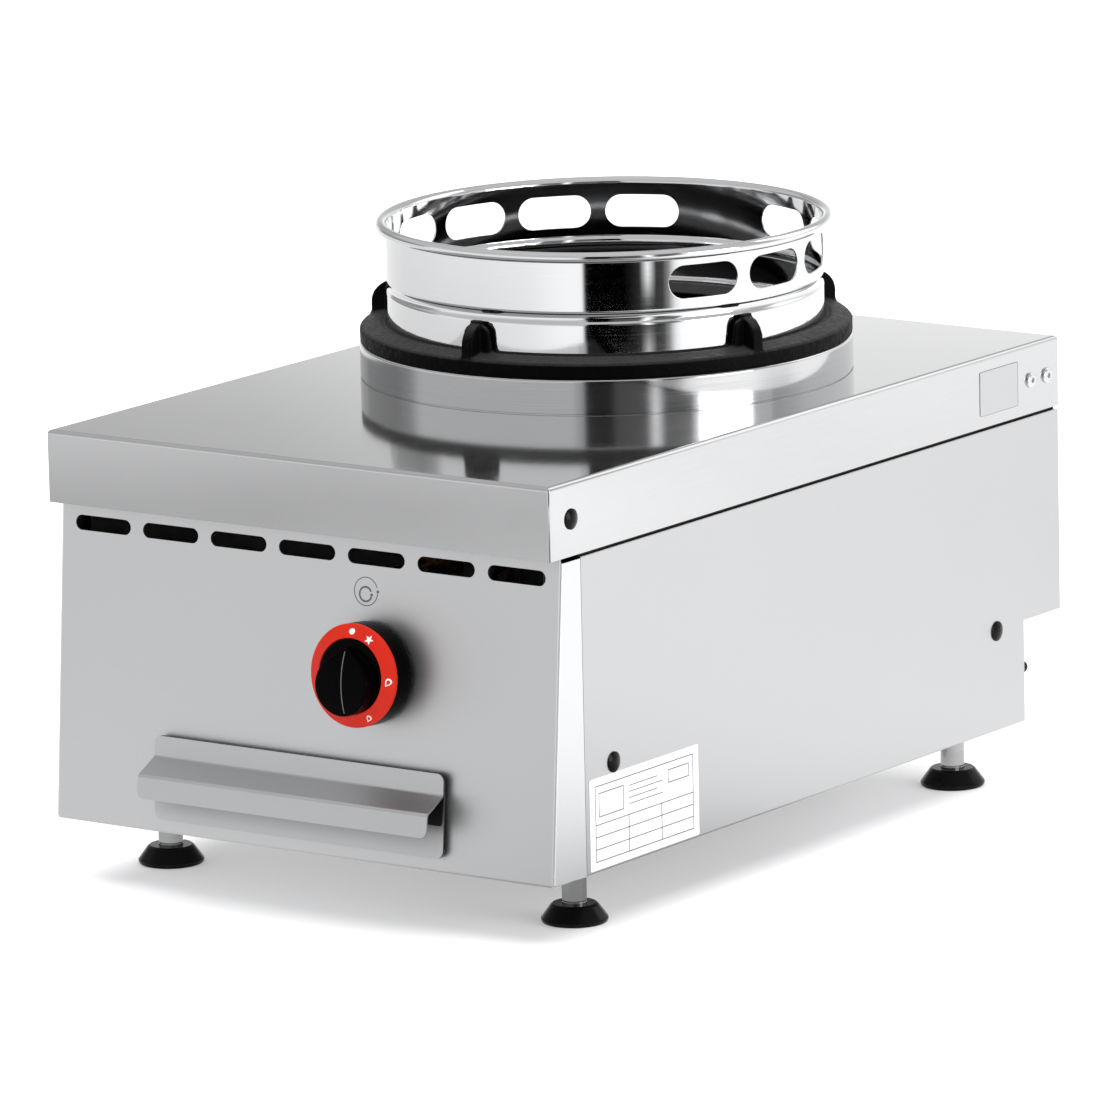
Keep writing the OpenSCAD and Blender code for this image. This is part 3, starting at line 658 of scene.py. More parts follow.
# ------------------------------------------------------------------ hob pan
def hob_pan():
    w, d, z0, z1, re, rv = 400.0, 600.0, 252.0, 300.0, 3.0, 1.2
    rings = []
    prof = [(0.0, z0), (0.0, z1 - re)]
    for k in range(1, 9):
        a = math.radians(90.0 * k / 8)
        prof.append((re * (1 - math.cos(a)), z1 - re + re * math.sin(a)))
    for e, z in prof:
        l = rrect(w - 2 * e, d - 2 * e, max(rv - e, 0.12), 8)
        rings.append(np.column_stack((l[:, 0], l[:, 1] + d / 2, np.full(len(l), z))))
    v, f = loft(rings, False, False)
    top = rings[-1][:, :2]
    flat, tris = fill([top, circle(159.8, 180, 0, RY)])
    t = np.column_stack((flat, np.full(len(flat), z1)))
    v, f = joined([(v, f), (t, tris)])
    return make("hob_pan", v, f, "chassis", M["hob"], ["hob_top"], solid=1.5, sharp=None, bevel=0.55,
                flat_area=900, outward=(0, 0, 1))


def collar():
    out = [(164.1, 300.0), (164.1, 300.5), (164.6, 300.5), (164.8, 300.7)]
    rr = 2.0
    for k in range(0, 13):
        a = math.radians(90.0 * k / 12)
        out.append((164.8 - rr + rr * math.cos(a), 323.5 - rr + rr * math.sin(a)))
    out += [(136.0, 323.5), (136.0, 322.0), (162.4, 322.0)]
    for k in range(1, 5):
        a = math.radians(90 - 90.0 * k / 4)
        out.append((162.4 + 0.9 * math.cos(a), 321.1 + 0.9 * math.sin(a)))
    out += [(163.3, 300.0)]
    v, f = lathe(out, 360)
    return make("burner_collar", about_ring(v), f, "chassis", M["collar"], ["hob_collar"], sharp=40)


# ------------------------------------------------------------------ wok ring
def wok_ring():
    R, t, n = 146.1, 1.2, 360
    zb, roll_r, roll_z, roll_c = 335.05, 3.6, 401.4, 148.9
    za, zc = 369.6, 394.4                  # belt that holds the oblong openings
    zg, half, ra, rb = 360.35, 5.05, 3.8, 6.0
    th = math.acos(1 - 1.4 / (ra + rb))

    def wall():
        """Outer face from the bottom corner to the belt: (r, z, normal r, normal z)."""
        p = []
        for k in range(0, 9):
            a = math.radians(-90 + 90.0 * k / 8)
            p.append((R - 2.4 + 2.4 * math.cos(a), zb + 2.4 + 2.4 * math.sin(a), math.cos(a), math.sin(a)))
        p.append((R, 346.0, 1.0, 0.0))
        zs = zg - (ra + rb) * math.sin(th)
        for k in range(0, 9):
            a = th * k / 8
            p.append((R - ra + ra * math.cos(a), zs + ra * math.sin(a), math.cos(a), math.sin(a)))
        gr = R - 1.4 + rb
        for k in range(1, 25):
            a = th - 2 * th * k / 24
            p.append((gr - rb * math.cos(a), zg - rb * math.sin(a), math.cos(a), math.sin(a)))
        zt = zg + (ra + rb) * math.sin(th)
        for k in range(1, 9):
            a = -th + th * k / 8
            p.append((R - ra + ra * math.cos(a), zt + ra * math.sin(a), math.cos(a), math.sin(a)))
        p.append((R, za, 1.0, 0.0))
        return p

    low = wall()
    inner = [(r - t * a, z - t * b, -a, -b) for r, z, a, b in low]
    # below the belt: inner face down, flange, outer face up
    flange_in = 138.1
    prof_low = list(reversed(inner)) + [(flange_in + 0.6, zb + t, 0.0, 1.0)]
    for k in range(1, 6):
        a = math.radians(90 + 180.0 * k / 6)
        prof_low.append((flange_in + 0.6 + 0.6 * math.cos(a), zb + 0.6 + 0.6 * math.sin(a), math.cos(a), math.sin(a)))
    prof_low += [(flange_in + 0.6, zb, 0.0, -1.0)] + low
    # above the belt: outer face, rolled rim, inner face
    prof_up = [(R, zc, 1.0, 0.0), (R, 397.5, 1.0, 0.0), (R, 399.0, 1.0, 0.0)]
    a0 = math.atan2(-math.sqrt(roll_r ** 2 - (R + 0.06 - roll_c) ** 2), R + 0.06 - roll_c)
    for k in range(0, 31):
        a = a0 + (math.pi / 2 - a0) * k / 30
        prof_up.append((roll_c + roll_r * math.cos(a), roll_z + roll_r * math.sin(a), math.cos(a), math.sin(a)))
    in_r = roll_c - (R - t)                # the inner quarter runs into the wall's inner face
    for k in range(1, 17):
        a = math.pi / 2 * (1 + k / 16)
        prof_up.append((roll_c + in_r * math.cos(a), roll_z + roll_r - in_r + in_r * math.sin(a), math.cos(a), math.sin(a)))
    prof_up += [(R - t, 397.5, -1.0, 0.0), (R - t, zc, -1.0, 0.0)]

    ang = np.linspace(0, 2 * math.pi, n, endpoint=False) + math.radians(90.5)    # from the back
    ca, sa = np.cos(ang), np.sin(ang)
    V, N, F, L = [], [], [], []
    count = 0

    def strip(prof):
        nonlocal count
        rows = []
        for r, z, a, b in prof:
            V.append(np.column_stack((r * ca, r * sa, np.full(n, z))))
            l = math.hypot(a, b)
            N.append(np.column_stack((a / l * ca, a / l * sa, np.full(n, b / l))))
            rows.append(np.arange(count, count + n))
            count += n
        for p, q in zip(rows, rows[1:]):
            F.append(np.column_stack((p, np.roll(p, -1), np.roll(q, -1), q)))

    strip(prof_low)
    strip(prof_up)

    # the belt: plain where there are no openings, else a patch around each opening
    per, rows_z, rings_n = 24, 20, 9
    zz = np.linspace(za, zc, rows_z + 1)
    u_edge = np.linspace(-0.5, 0.5, per + 1) * (24 * math.pi / 180)
    zmid, hl, hh = 382.0, 25.5, 11.0

    def edge_loop():
        pts = [(u, za) for u in u_edge[:-1]] + [(u_edge[-1], z) for z in zz[:-1]]
        pts += [(u, zc) for u in u_edge[::-1][:-1]] + [(u_edge[0], z) for z in zz[::-1][:-1]]
        return np.array(pts)

    def on_oblong(dx, dy, grow):
        """Where a ray from the middle meets the opening's outline, and the outline's normal there."""
        r, c = hh + grow, hl - hh
        s = np.where(np.abs(dy) > 1e-9, r / np.maximum(np.abs(dy), 1e-9), 1e9)
        x = dx * s
        flat = np.abs(x) <= c
        cx = np.sign(dx) * c
        b = dx * cx
        disc = np.sqrt(np.maximum(b * b - (dx * dx + dy * dy) * (c * c - r * r), 0))
        s2 = (b + disc) / (dx * dx + dy * dy)
        s = np.where(flat, s, s2)
        px, py = dx * s, dy * s
        nx = np.where(flat, 0.0, (px - cx) / r)
        ny = np.where(flat, np.sign(dy), py / r)
        return px, py, nx, ny

    outer_loop = edge_loop()
    for a0, a1 in ((222.5, 319.5), (79.5, 102.5)):
        u_plain = np.radians(np.linspace(a0, a1, round(a1 - a0) + 1))
        for r, sign in ((R, 1.0), (R - t, -1.0)):
            uu, ww = np.meshgrid(u_plain, zz, indexing="ij")
            a = uu.ravel()
            V.append(np.column_stack((r * np.cos(a), r * np.sin(a), ww.ravel())))
            N.append(np.column_stack((sign * np.cos(a), sign * np.sin(a), np.zeros(a.size))))
            g = np.arange(count, count + a.size).reshape(len(u_plain), rows_z + 1)
            q = np.stack((g[:-1, :-1], g[1:, :-1], g[1:, 1:], g[:-1, 1:]), -1).reshape(-1, 4)
            F.append(q if sign > 0 else q[:, ::-1])
            count += a.size
    for k in range(10):
        mid = math.radians((114.5 if k < 5 else 331.5 - 120.0) + 24 * k)
        ex, ey = outer_loop[:, 0] * R, outer_loop[:, 1] - zmid
        d = np.hypot(ex, ey)
        dx, dy = ex / d, ey / d
        m = len(outer_loop)
        ed = 0.3
        for r, sign in ((R, 1.0), (R - t, -1.0)):
            hx, hy, _, _ = on_oblong(dx, dy, ed)
            start = count
            for j in range(rings_n + 1):
                w = (j / rings_n) ** 0.8
                x, y = ex + (hx - ex) * w, ey + (hy - ey) * w
                a = mid + x / R
                V.append(np.column_stack((r * np.cos(a), r * np.sin(a), y + zmid)))
                N.append(np.column_stack((sign * np.cos(a), sign * np.sin(a), np.zeros(m))))
                count += m
            for j in range(rings_n):
                p = start + j * m + np.arange(m)
                q = p + m
                quad = np.column_stack((p, np.roll(p, -1), np.roll(q, -1), q))
                F.append(quad if sign > 0 else quad[:, ::-1])
        # rim of the opening, edges rounded
        start = count
        steps = [(ed, R, 0)] + [(ed * (1 - math.sin(math.radians(c))), R - ed * (1 - math.cos(math.radians(c))), c) for c in (30, 60, 90)]
        steps += [(ed * (1 - math.cos(math.radians(c))), R - t + ed * (1 - math.sin(math.radians(c))), 90 + c) for c in (0, 30, 60, 90)]
        for grow, r, c in steps:
            hx, hy, nx, ny = on_oblong(dx, dy, grow)
            a = mid + hx / R
            V.append(np.column_stack((r * np.cos(a), r * np.sin(a), hy + zmid)))
            cr, sr = math.cos(math.radians(c)), math.sin(math.radians(c))
            nt_, nz_ = -nx * sr, -ny * sr
            N.append(np.column_stack((cr * np.cos(a) - nt_ * np.sin(a), cr * np.sin(a) + nt_ * np.cos(a), nz_)))
            count += m
        for j in range(len(steps) - 1):
            p = start + j * m + np.arange(m)
            q = p + m
            F.append(np.column_stack((p, np.roll(p, -1), np.roll(q, -1), q)))

    V, N, F = np.vstack(V), np.vstack(N), np.vstack(F)
    # the strips, patches and rims meet along equal points: merge them, keep a normal per corner
    key = np.round(V / 0.002).astype(np.int64)
    _, first, inv = np.unique(key, axis=0, return_index=True, return_inverse=True)
    inv = inv.ravel()
    P = V[first]
    faces, corners = [], []
    for src, dst in zip(F, inv[F]):
        keep = [i for i in range(4) if dst[i] != dst[i - 1]]
        if len(keep) < 3 or len(set(dst[keep].tolist())) < len(keep):
            continue
        src, dst = src[keep], dst[keep]
        q = P[dst]
        way = np.cross(q[2] - q[0], q[-1] - q[1]) if len(keep) == 4 else np.cross(q[1] - q[0], q[2] - q[0])
        if way @ N[src].sum(0) < 0:
            src, dst = src[::-1], dst[::-1]
        faces.append(dst)
        corners.append(src)
    ob = make("wok_ring_polished", about_ring(P), faces, "wok_ring", M["polished"], ["wok_ring"],
              doubles=0, recalc=False, sharp=None, weighted=False)
    me = ob.data
    vi = np.zeros(len(me.loops), np.int32)
    me.loops.foreach_get("vertex_index", vi)
    out = np.zeros((len(me.loops), 3))
    for fi, poly in enumerate(me.polygons):
        src = {int(a): b for a, b in zip(faces[fi], corners[fi])}
        for l in poly.loop_indices:
            out[l] = N[src[int(vi[l])]]
    me.normals_split_custom_set(out.tolist())
    return ob


# ------------------------------------------------------------------ cast-iron ring
def iron_ring():
    z = 323.5
    prof = [(122.6, z + 0.05), (163.7, z + 0.05), (164.2, z + 0.6), (164.2, z + 8.6), (162.7, z + 10.0),
            (150.4, z + 12.5), (148.9, z + 11.4), (147.6, z + 12.5), (146.9, z + 11.2), (132.0, z + 11.2),
            (122.1, z + 6.8)]
    rib = [(131.0, z - 7), (135.4, z - 7), (135.4, z + 2), (131.0, z + 2)]

    def f(x, y, zz):
        r = np.hypot(x, y)
        d = poly_dist(prof, r, zz) - 0.25
        d = smin(d, poly_dist(rib, r, zz) - 0.2, 0.8)
        a = np.arctan2(y, x) + math.radians(89.4)
        step = 2 * math.pi / 5
        a = a - step * np.round(a / step)
        p, t = r * np.cos(a), r * np.sin(a)
        # a lug is a curved pad along the wok ring with a quarter-round fin on its back
        out = np.hypot(np.maximum(p - 148.4, 0), np.maximum(zz - 341.0, 0)) - 14.6
        fin = smax(out, np.abs(t) - 3.9, 0.8)
        w = 10.1 - (zz - 343.0) * 0.12
        pad = smax(np.hypot(np.maximum(np.abs(t) - w + 5.6, 0), np.maximum(zz - 348.6, 0)) - 5.6, r - 152.0, 0.8)
        lug = smax(smin(fin, pad, 1.6), 148.45 - r, 0.7)
        lug = smax(lug, 331.0 - zz, 0.5)
        nub = np.maximum(np.maximum(np.abs(p - 150.0) - 1.3, np.abs(t) - 3.6), np.abs(zz - 350.0) - 6.6) - 0.5
        lug = smin(lug, nub, 0.6)
        d = smin(d, lug, 2.6)
        rough = 0.10 * value_noise(x, y, zz, 3.1, 0) + 0.06 * value_noise(x, y, zz, 1.5, 1)
        rough = rough + 0.10 * value_noise(x, y, zz, 11.0, 2)
        keep = np.clip((r - 147.3) / 1.5, 0, 1)
        return d + rough * keep + 0.02

    v, q = surface_net(f, (-167, -167, 314.5), (167, 167, 359.5), 1.0)
    return make("iron_support_ring", about_ring(v), q, "support_ring", M["iron"], ["pan_support_ring"],
                doubles=0, recalc=False, sharp=None, weighted=False)


# ------------------------------------------------------------------ front panel
def front_panel():
    L = (PAN_Z - 41.0) / CS
    rb = 1.8
    W = 199.5 - rb
    bottom = fillet([(PAN_Y, PAN_Z), (PAN_Y - L * SN, 41.0), (20.0, 41.0)], [0, rb, 0], False, 12)
    d = math.hypot(bottom[1][0] - PAN_Y, bottom[1][1] - PAN_Z)
    outline = [(-W, -1.0), (-192, -1.0), (-192, -9), (192, -9), (192, -1.0), (W, -1.0), (W, d), (-W, d)]
    holes = [oblong(45, 10) + np.array([i * 55.0, 12.6]) for i in range(-3, 4)]
    holes.append(circle(9.3, 48, KNOB_X, KNOB_S))
    holes.append(rrect(221, 46, 5, 8) + np.array([0, TRAY_S]))
    flat, tris = fill([np.array(outline, float)] + holes)
    parts = [(on_panel(flat[:, 0], flat[:, 1], 0.0), tris)]
    # bend to the underside flange
    rows = [np.column_stack(([-W, W], [y, y], [zz, zz])) for y, zz in bottom[1:]]
    v = np.vstack(rows)
    parts.append((v, [(2 * i, 2 * i + 1, 2 * i + 3, 2 * i + 2) for i in range(len(rows) - 1)]))
    # bends to the side returns, which take the paler return steel as painted light
    for sgn in (-1, 1):
        cols = []
        for k in range(0, 9):
            a = math.radians(90.0 * k / 8)
            x, o = sgn * (W + rb * math.sin(a)), -rb + rb * math.cos(a)
            cols.append(on_panel([x, x], [min(1.6, -1.0 + 0.65 * k), d], [o, o]))
        # the return ends in a step that goes in behind the side sheet; the step is dark steel, painted shade in the
        # joint
        for x, y in ((199.5, 33.6), (196.8, 33.6), (196.8, 38.0)):
            cols.append(np.array([[sgn * x, y, 248.7], [sgn * x, y, 41.3]]))
        v = np.vstack(cols)
        parts.append((v, [(2 * i, 2 * i + 1, 2 * i + 3, 2 * i + 2) for i in range(len(cols) - 1)]))
    ids = [0] * (len(tris) + len(rows) - 1)
    for p in parts[2:]:
        ids += [1] * (len(p[1]) - 2) + [2] * 2
    v, f = joined(parts)
    return make("front_panel_sheet", v, f, "chassis", [M["panel"], M["return"], M["gap"]], ["front_panel"],
                ids=ids, solid=1.2, sharp=None, flat_area=400, outward=(0, -1, 0))


def side_panels():
    for tag, sgn in (("left", -1), ("right", 1)):
        rb, ya = 1.6, 34.7
        face = [(ya, 41 + rb), (554, 41 + rb), (554, 111), (600, 111), (600, 249.5 - 0.9), (ya, 249.5 - 0.9)]
        flat, tris = fill([np.array(face, float)])
        parts = [(np.column_stack((np.full(len(flat), 199.0), flat)), tris)]
        low = fillet([(199.0, 60), (199.0, 41.0), (182.0, 41.0)], [0, rb, 0], False, 11)[1:]
        v = np.vstack([[(x, ya, z), (x, 554.0, z)] for x, z in low])
        parts.append((v, [(2 * i, 2 * i + 1, 2 * i + 3, 2 * i + 2) for i in range(len(low) - 1)]))
        top = fillet([(199.0, 230), (199.0, 249.5), (196.8, 249.5), (196.8, 290)], [0, 0.9, 0.9, 0], False, 11)[1:]
        v = np.vstack([[(x, ya, z), (x, 600.0 if k < 6 else 596.0, z)] for k, (x, z) in enumerate(top)])
        parts.append((v, [(2 * i, 2 * i + 1, 2 * i + 3, 2 * i + 2) for i in range(len(top) - 1)]))
        # The side sheet's upright flange under the hob is dark steel: painted shade in the joint.
        ids = [0] * (len(tris) + len(low) - 1) + [1 if top[i][0] < 198.3 else 0 for i in range(len(top) - 1)]
        v, f = joined(parts)
        make("side_sheet_" + tag, v * np.array([sgn, 1, 1]), f, "chassis", [M["side"], M["gap"]],
             ["side_panel_" + tag], ids=ids, solid=1.2, sharp=None, flat_area=500, outward=(sgn, 0, 0))


def rear_sheet():
    w, r = 197.6, 1.6
    line = fillet([(536.0, 43.4), (554.0, 43.4), (554.0, 111.0), (597.2, 111.0), (597.2, 288.0)], [0, r, r, r, 0], False, 11)
    jumps = np.linalg.norm(np.diff(line, axis=0), axis=1)
    parts = []
    for i in range(len(line) - 1):
        (y0, z0), (y1, z1) = line[i], line[i + 1]
        holes = []
        if jumps[i] > 100:
            holes = [oblong(52, 9) + np.array([k * 66.0, 226.0]) for k in range(-2, 3)]
        elif jumps[i] > 50:
            holes = [circle(11.0, 48, 150.0, 77.0)]
        if holes:
            flat, tris = fill([np.array([(-w, z0), (w, z0), (w, z1), (-w, z1)], float)] + holes)
            parts.append((np.column_stack((flat[:, 0], np.full(len(flat), y0), flat[:, 1])), tris))
        else:
            parts.append((np.array([(-w, y0, z0), (w, y0, z0), (w, y1, z1), (-w, y1, z1)]), [(0, 1, 2, 3)]))
    v, f = joined(parts)
    make("rear_sheet", v, f, "chassis", M["panel"], ["rear_panel"], solid=1.2, sharp=None, flat_area=400,
         outward=(0, 1, 0))


def arc_band(cx, cy, r, w, a0, a1, n=48):
    a = np.radians(np.linspace(a0, a1, n))
    o = np.column_stack((cx + (r + w / 2) * np.cos(a), cy + (r + w / 2) * np.sin(a)))
    i = np.column_stack((cx + (r - w / 2) * np.cos(a), cy + (r - w / 2) * np.sin(a)))
    return np.vstack((o, i[::-1]))


def panel_marks():
    parts = []
    for loop in (arc_band(47.5, -34.7, 9.2, 0.6, 20, 356), arc_band(47.2, -36.5, 4.7, 1.25, 25, 345),
                 circle(1.05, 20, 47.5 + 9.3, -34.7 + 0.6), circle(1.0, 20, 47.2 + 4.8, -36.5 - 0.1)):
        v, f = slab([loop], 0.0, 0.06)
        parts.append((on_panel(v[:, 0], -v[:, 1], v[:, 2]), f))
    v, f = joined(parts)
    return make("panel_marks", v, f, "chassis", M["mark"], doubles=0, sharp=30, weighted=False)


# ------------------------------------------------------------------ drip tray
def tray_front():
    parts = []
    v, f = slab([rrect(231.2, 55.6, 6, 10)], 3.3, 4.5)
    parts.append((on_panel(v[:, 0], TRAY_S - v[:, 1], v[:, 2]), f))
    v, f = joined(parts)
    make("tray_front_plate", v, f, "drip_tray", M["tray"], ["tray_front"], sharp=30, bevel=0.4,
         flat_area=200)
    # a thin dark strip laid on the plate behind the handle: painted shade where the handle shades the plate
    v, f = slab([rrect(229.0, 18.6, 2.0, 6)], 4.4, 4.58)
    make("tray_shade_strip", on_panel(v[:, 0], TRAY_S - 3.0 - v[:, 1], v[:, 2]), f, "drip_tray", M["gap"], sharp=30,
         weighted=False)


def tray_handle():
    t, W, rc = 1.2, 231.4 / 2, 5.0
    mid = fillet([(27.6, 5.1), (13.3, 5.1), (3.1, 22.4), (-11.9, 23.2)], [0, 2.6, 2.6, 0], False, 6)
    seg = np.linalg.norm(np.diff(mid, axis=0), axis=1)
    s = np.concatenate(([0], np.cumsum(seg)))
    total = s[-1]
    ss = np.unique(np.concatenate((s, rc * (1 - np.cos(np.linspace(0, math.pi / 2, 9))),
                                   total - rc * (1 - np.cos(np.linspace(0, math.pi / 2, 9))))))
    u, o = np.interp(ss, s, mid[:, 0]), np.interp(ss, s, mid[:, 1])
    du, do = np.gradient(u, ss), np.gradient(o, ss)
    l = np.hypot(du, do)
    nu, no = -do / l, du / l
    if no[0] < 0:
        nu, no = -nu, -no
    near = np.minimum(ss, total - ss)
    cut = np.where(near < rc, rc - np.sqrt(np.maximum(rc * rc - (rc - near) ** 2, 0)), 0)
    w = W - cut
    rings = []
    for i in range(len(ss)):
        fu, fo, bu, bo = u[i] + nu[i] * t / 2, o[i] + no[i] * t / 2, u[i] - nu[i] * t / 2, o[i] - no[i] * t / 2
        rings.append(on_panel([-w[i], w[i], w[i], -w[i]], [TRAY_S - fu, TRAY_S - fu, TRAY_S - bu, TRAY_S - bu], [fo, fo, bo, bo]))
    v, f = loft(rings)
    # the outer side: flange and lip upright in a darker copy of the tray steel, the slope between them looking up in a
    # paler copy as painted light from above; the rest is in their shade, with the tray steel's painted shade
    ids = [(2 if all(5.8 < o[i // 4] < 22.3 for i in q) else 1) if all(i % 4 < 2 for i in q) else 0 for q in f]
    return make("tray_handle_fold", v, f, "drip_tray", [M["tray"], M["lip"], M["fold"]], ["tray_handle"],
                ids=ids, sharp=40, bevel=0.25, flat_area=600)


# ------------------------------------------------------------------ knob
def grip_top(u):
    """Height of the grip's back along its length; u is up the panel from the knob's axis."""
    return 36.9 - (u + 9.0) ** 2 / 150.0


def knob():
    ra, rc, ua, rise = 20.1, 4.2, -5.0, 20.0      # the grip's outline: a large and a small circle, hulled
    b = (ra - rc) / rise
    a = math.sqrt(1 - b * b)

    def f(x, u, o):
        r = np.hypot(x, u)
        body = smax(r - (33.6 - np.clip(9.0 - o, 0, 9) * 0.05), np.abs(o - 12.1) - 7.8, 1.0)
        hub = smax(r - 24.3, np.maximum(o - 26.1, 8.0 - o), 1.2)
        d = smin(body, hub, 0.15)
        px, pu = np.abs(x), u - ua
        k = -b * px + a * pu
        wide = np.where(k < 0, np.hypot(px, pu) - ra, np.where(k > a * rise, np.hypot(px, pu - rise) - rc, a * px + b * pu - ra))
        wide = wide + np.clip(o - 26.4, 0, 11) * 0.012
        blade = smax(o - (grip_top(u) - x * x / 900.0), wide, 0.9)
        blade = smax(blade, np.maximum(20.0 - o, np.minimum(26.4 - o, r - 24.0)), 0.3)
        d = smin(d, blade, 0.8)
        hollow = smax(r - 30.8, o - 15.0, 1.0)
        post = np.maximum(r - 9.0, 8.6 - o)
        hollow = smax(hollow, -post, 0.6)
        return smax(d, -hollow, 0.5)

    v, q = surface_net(f, (-36, -36, 2.5), (36, 36, 39.0), 0.62, 3)
    g = gradient(f, v, 0.04)
    w = on_panel(KNOB_X + v[:, 0], KNOB_S - v[:, 1], v[:, 2])
    ob = make("knob_body", w, q, "control_knob", M["knob"], ["knob"], doubles=0, recalc=False, sharp=None,
              weighted=False)
    nrm = np.column_stack((g[:, 0], g[:, 1] * SN - g[:, 2] * CS, g[:, 1] * CS + g[:, 2] * SN))
    ob.data.normals_split_custom_set_from_vertices(nrm.tolist())
    return ob


# A thin grey strip along the grip's crest: a pointer line, and in part a painted highlight for the crest's glint.
def grip_line():
    rings = []
    for u in np.linspace(16.8, -22.6, 64):
        h = grip_top(u)
        x = KNOB_X + 0.9 - 0.0575 * u + 0.0024 * u * u
        rings.append(on_panel(x + np.array([-0.45, 0.45, 0.3, -0.3]), KNOB_S - u, [h - 0.4, h - 0.4, h + 0.12, h + 0.12]))
    v, f = loft(rings)
    return make("grip_line", v, f, "control_knob", M["line"], sharp=40)


def cone(r):
    """Height of the dial ring's sloping face."""
    return 22.52 + 0.385 * (32.93 - r)


def dial():
    prof = [(24.45, 20.05), (33.6, 20.05)]
    for k in range(0, 7):
        a = math.radians(69.0 * k / 6)
        prof.append((32.5 + 1.2 * math.cos(a), 21.4 + 1.2 * math.sin(a)))
    prof += [(25.4, cone(25.4)), (24.8, cone(24.95)), (24.45, cone(24.95) - 0.45)]
    v, f = lathe(prof, 144)
    w = on_panel(KNOB_X + v[:, 0], KNOB_S - v[:, 1], v[:, 2])
    return make("dial_ring", w, f, "control_knob", M["red"], ["knob_ring"], sharp=40)


def flame(size, line):
    """Outline of a small flame, tip up: outer and inner loop."""
    t = np.linspace(0, 2 * math.pi, 40, endpoint=False)
    x = np.sin(t) * np.sin(t / 2) ** 1.4
    y = -np.cos(t)
    shape = np.column_stack((0.95 * x, -y))
    shape = shape * np.array([1.0, -1.0])
    return shape * size, shape * (size - line)


def dial_marks():
    parts = []

    def place(loops, deg, r=28.4, turn=0.0):
        v, f = slab(loops, -0.06, 0.1)
        a = math.radians(deg)
        b = -a + math.radians(turn)
        x = v[:, 0] * math.cos(b) - v[:, 1] * math.sin(b) + r * math.sin(a)
        u = v[:, 0] * math.sin(b) + v[:, 1] * math.cos(b) + r * math.cos(a)
        parts.append((on_panel(KNOB_X + x, KNOB_S - u, cone(np.hypot(x, u)) + v[:, 2]), f))

    place([circle(2.0, 32) * np.array([1.1, 0.95])], 0, 28.9)
    k = np.arange(10)
    star = np.where(k % 2 == 0, 3.2, 1.35)[:, None] * np.column_stack((np.sin(k * math.pi / 5), np.cos(k * math.pi / 5)))
    place([star], 28.5, 28.3)
    o, i = flame(3.0, 1.1)
    place([o, i], 93, 28.9, 60)
    o, i = flame(2.4, 0.9)
    place([o, i], 151.5, 29.8, 120)
    v, f = joined(parts)
    return make("dial_marks", v, f, "control_knob", M["white"], doubles=0, sharp=30, weighted=False)


# ------------------------------------------------------------------ feet, plugs, screws, plates
def pads():
    prof = fillet([(0, 0), (21.3, 0), (22.0, 2.6), (15.6, 11.4), (14.2, 12.5), (8.25, 12.5), (8.25, 7.0), (0, 7.0)],
                  [0, 1.6, 1.4, 1.2, 0.9, 0.4, 0, 0], True, 15)
    v, f = lathe(prof, 96, closed=False)
    for tag, x, y in (("fl", -162.7, 71.3), ("fr", 162.7, 71.3), ("rl", -162.7, 518.8), ("rr", 162.7, 518.8)):
        make("foot_pad_turned_" + tag, v + np.array([x, y, 0]), f, "foot_" + tag, M["foot"],
             ["foot_pad_" + tag], sharp=40)
    sl = fillet([(5.0, 15.5), (5.0, 42.1), (7.7, 42.1), (8.1, 41.6), (8.1, 14.6), (7.85, 14.2), (7.85, 13.6), (8.1, 13.2),
                 (8.1, 7.1), (5.0, 7.1)], 0, True)
    v, f = lathe(sl, 72)
    for tag, x, y in (("fl", -162.7, 71.3), ("fr", 162.7, 71.3), ("rl", -162.7, 518.8), ("rr", 162.7, 518.8)):
        make("foot_sleeve_turned_" + tag, v + np.array([x, y, 0]), f, "foot_" + tag, M["sleeve"],
             ["foot_sleeve_" + tag], sharp=30)


def plugs():
    r, h = 6.8, 1.8
    big = (r * r + h * h) / (2 * h)
    prof = [(0, 0.03), (r - 0.3, 0.03), (r, 0.25), (r, 0.55)]
    top = math.asin((r - 0.35) / big)
    for k in range(0, 15):
        a = top * (1 - k / 14)
        prof.append((big * math.sin(a), 0.55 + h + big * math.cos(a) - big))
    prof[-1] = (0.0, prof[-1][1])
    v, f = lathe(prof, 64, closed=False)
    parts = []
    for sgn in (-1, 1):
        for x, y, z in ((199.0, 66.6, 110.0), (199.0, 520.0, 110.0), (200.0, 23.6, 276.0)):
            parts.append((turned(v, (sgn * x, y, z), (sgn, 0, 0)), f))
    v, f = joined(parts)
    make("dome_plugs", v, f, "chassis", M["plug"], ["side_plugs"], sharp=35)
    prof = [(0, 0.02), (4.1, 0.02), (4.4, 0.3), (4.4, 6.3)]
    for k in range(1, 11):
        a = math.radians(90.0 * k / 10)
        prof.append((4.4 * math.cos(a), 6.3 + 4.4 * math.sin(a)))
    prof[-1] = (0.0, 10.7)
    v, f = lathe(prof, 48, closed=False)
    v, f = joined([(turned(v, (s * 192.5, 554.0, 77.0), (0, 1, 0)), f) for s in (-1, 1)])
    make("stud_caps", v, f, "chassis", M["plug"], ["rear_caps"], sharp=35)


def socket_head(rh, hh, rs, depth=1.4, n=48):
    a = np.linspace(0, 2 * math.pi, n, endpoint=False)
    c, s = np.cos(a), np.sin(a)
    hexr = rs * math.cos(math.pi / 6) / np.cos((a % (math.pi / 3)) - math.pi / 6)

    def ring(r, z):
        r = np.broadcast_to(r, a.shape)
        return np.column_stack((r * c, r * s, np.full(n, z)))

    rings = [ring(rh - 0.2, 0.02), ring(rh, 0.25), ring(rh, hh * 0.28)]
    for k in range(1, 9):
        w = math.radians(90.0 * k / 8)
        rings.append(ring(rs + 0.9 + (rh - rs - 0.9) * math.cos(w), hh * 0.28 + hh * 0.72 * math.sin(w)))
    rings += [ring(hexr + 0.18, hh), ring(hexr, hh - 0.18), ring(hexr * 0.99, hh - depth)]
    return loft(rings)


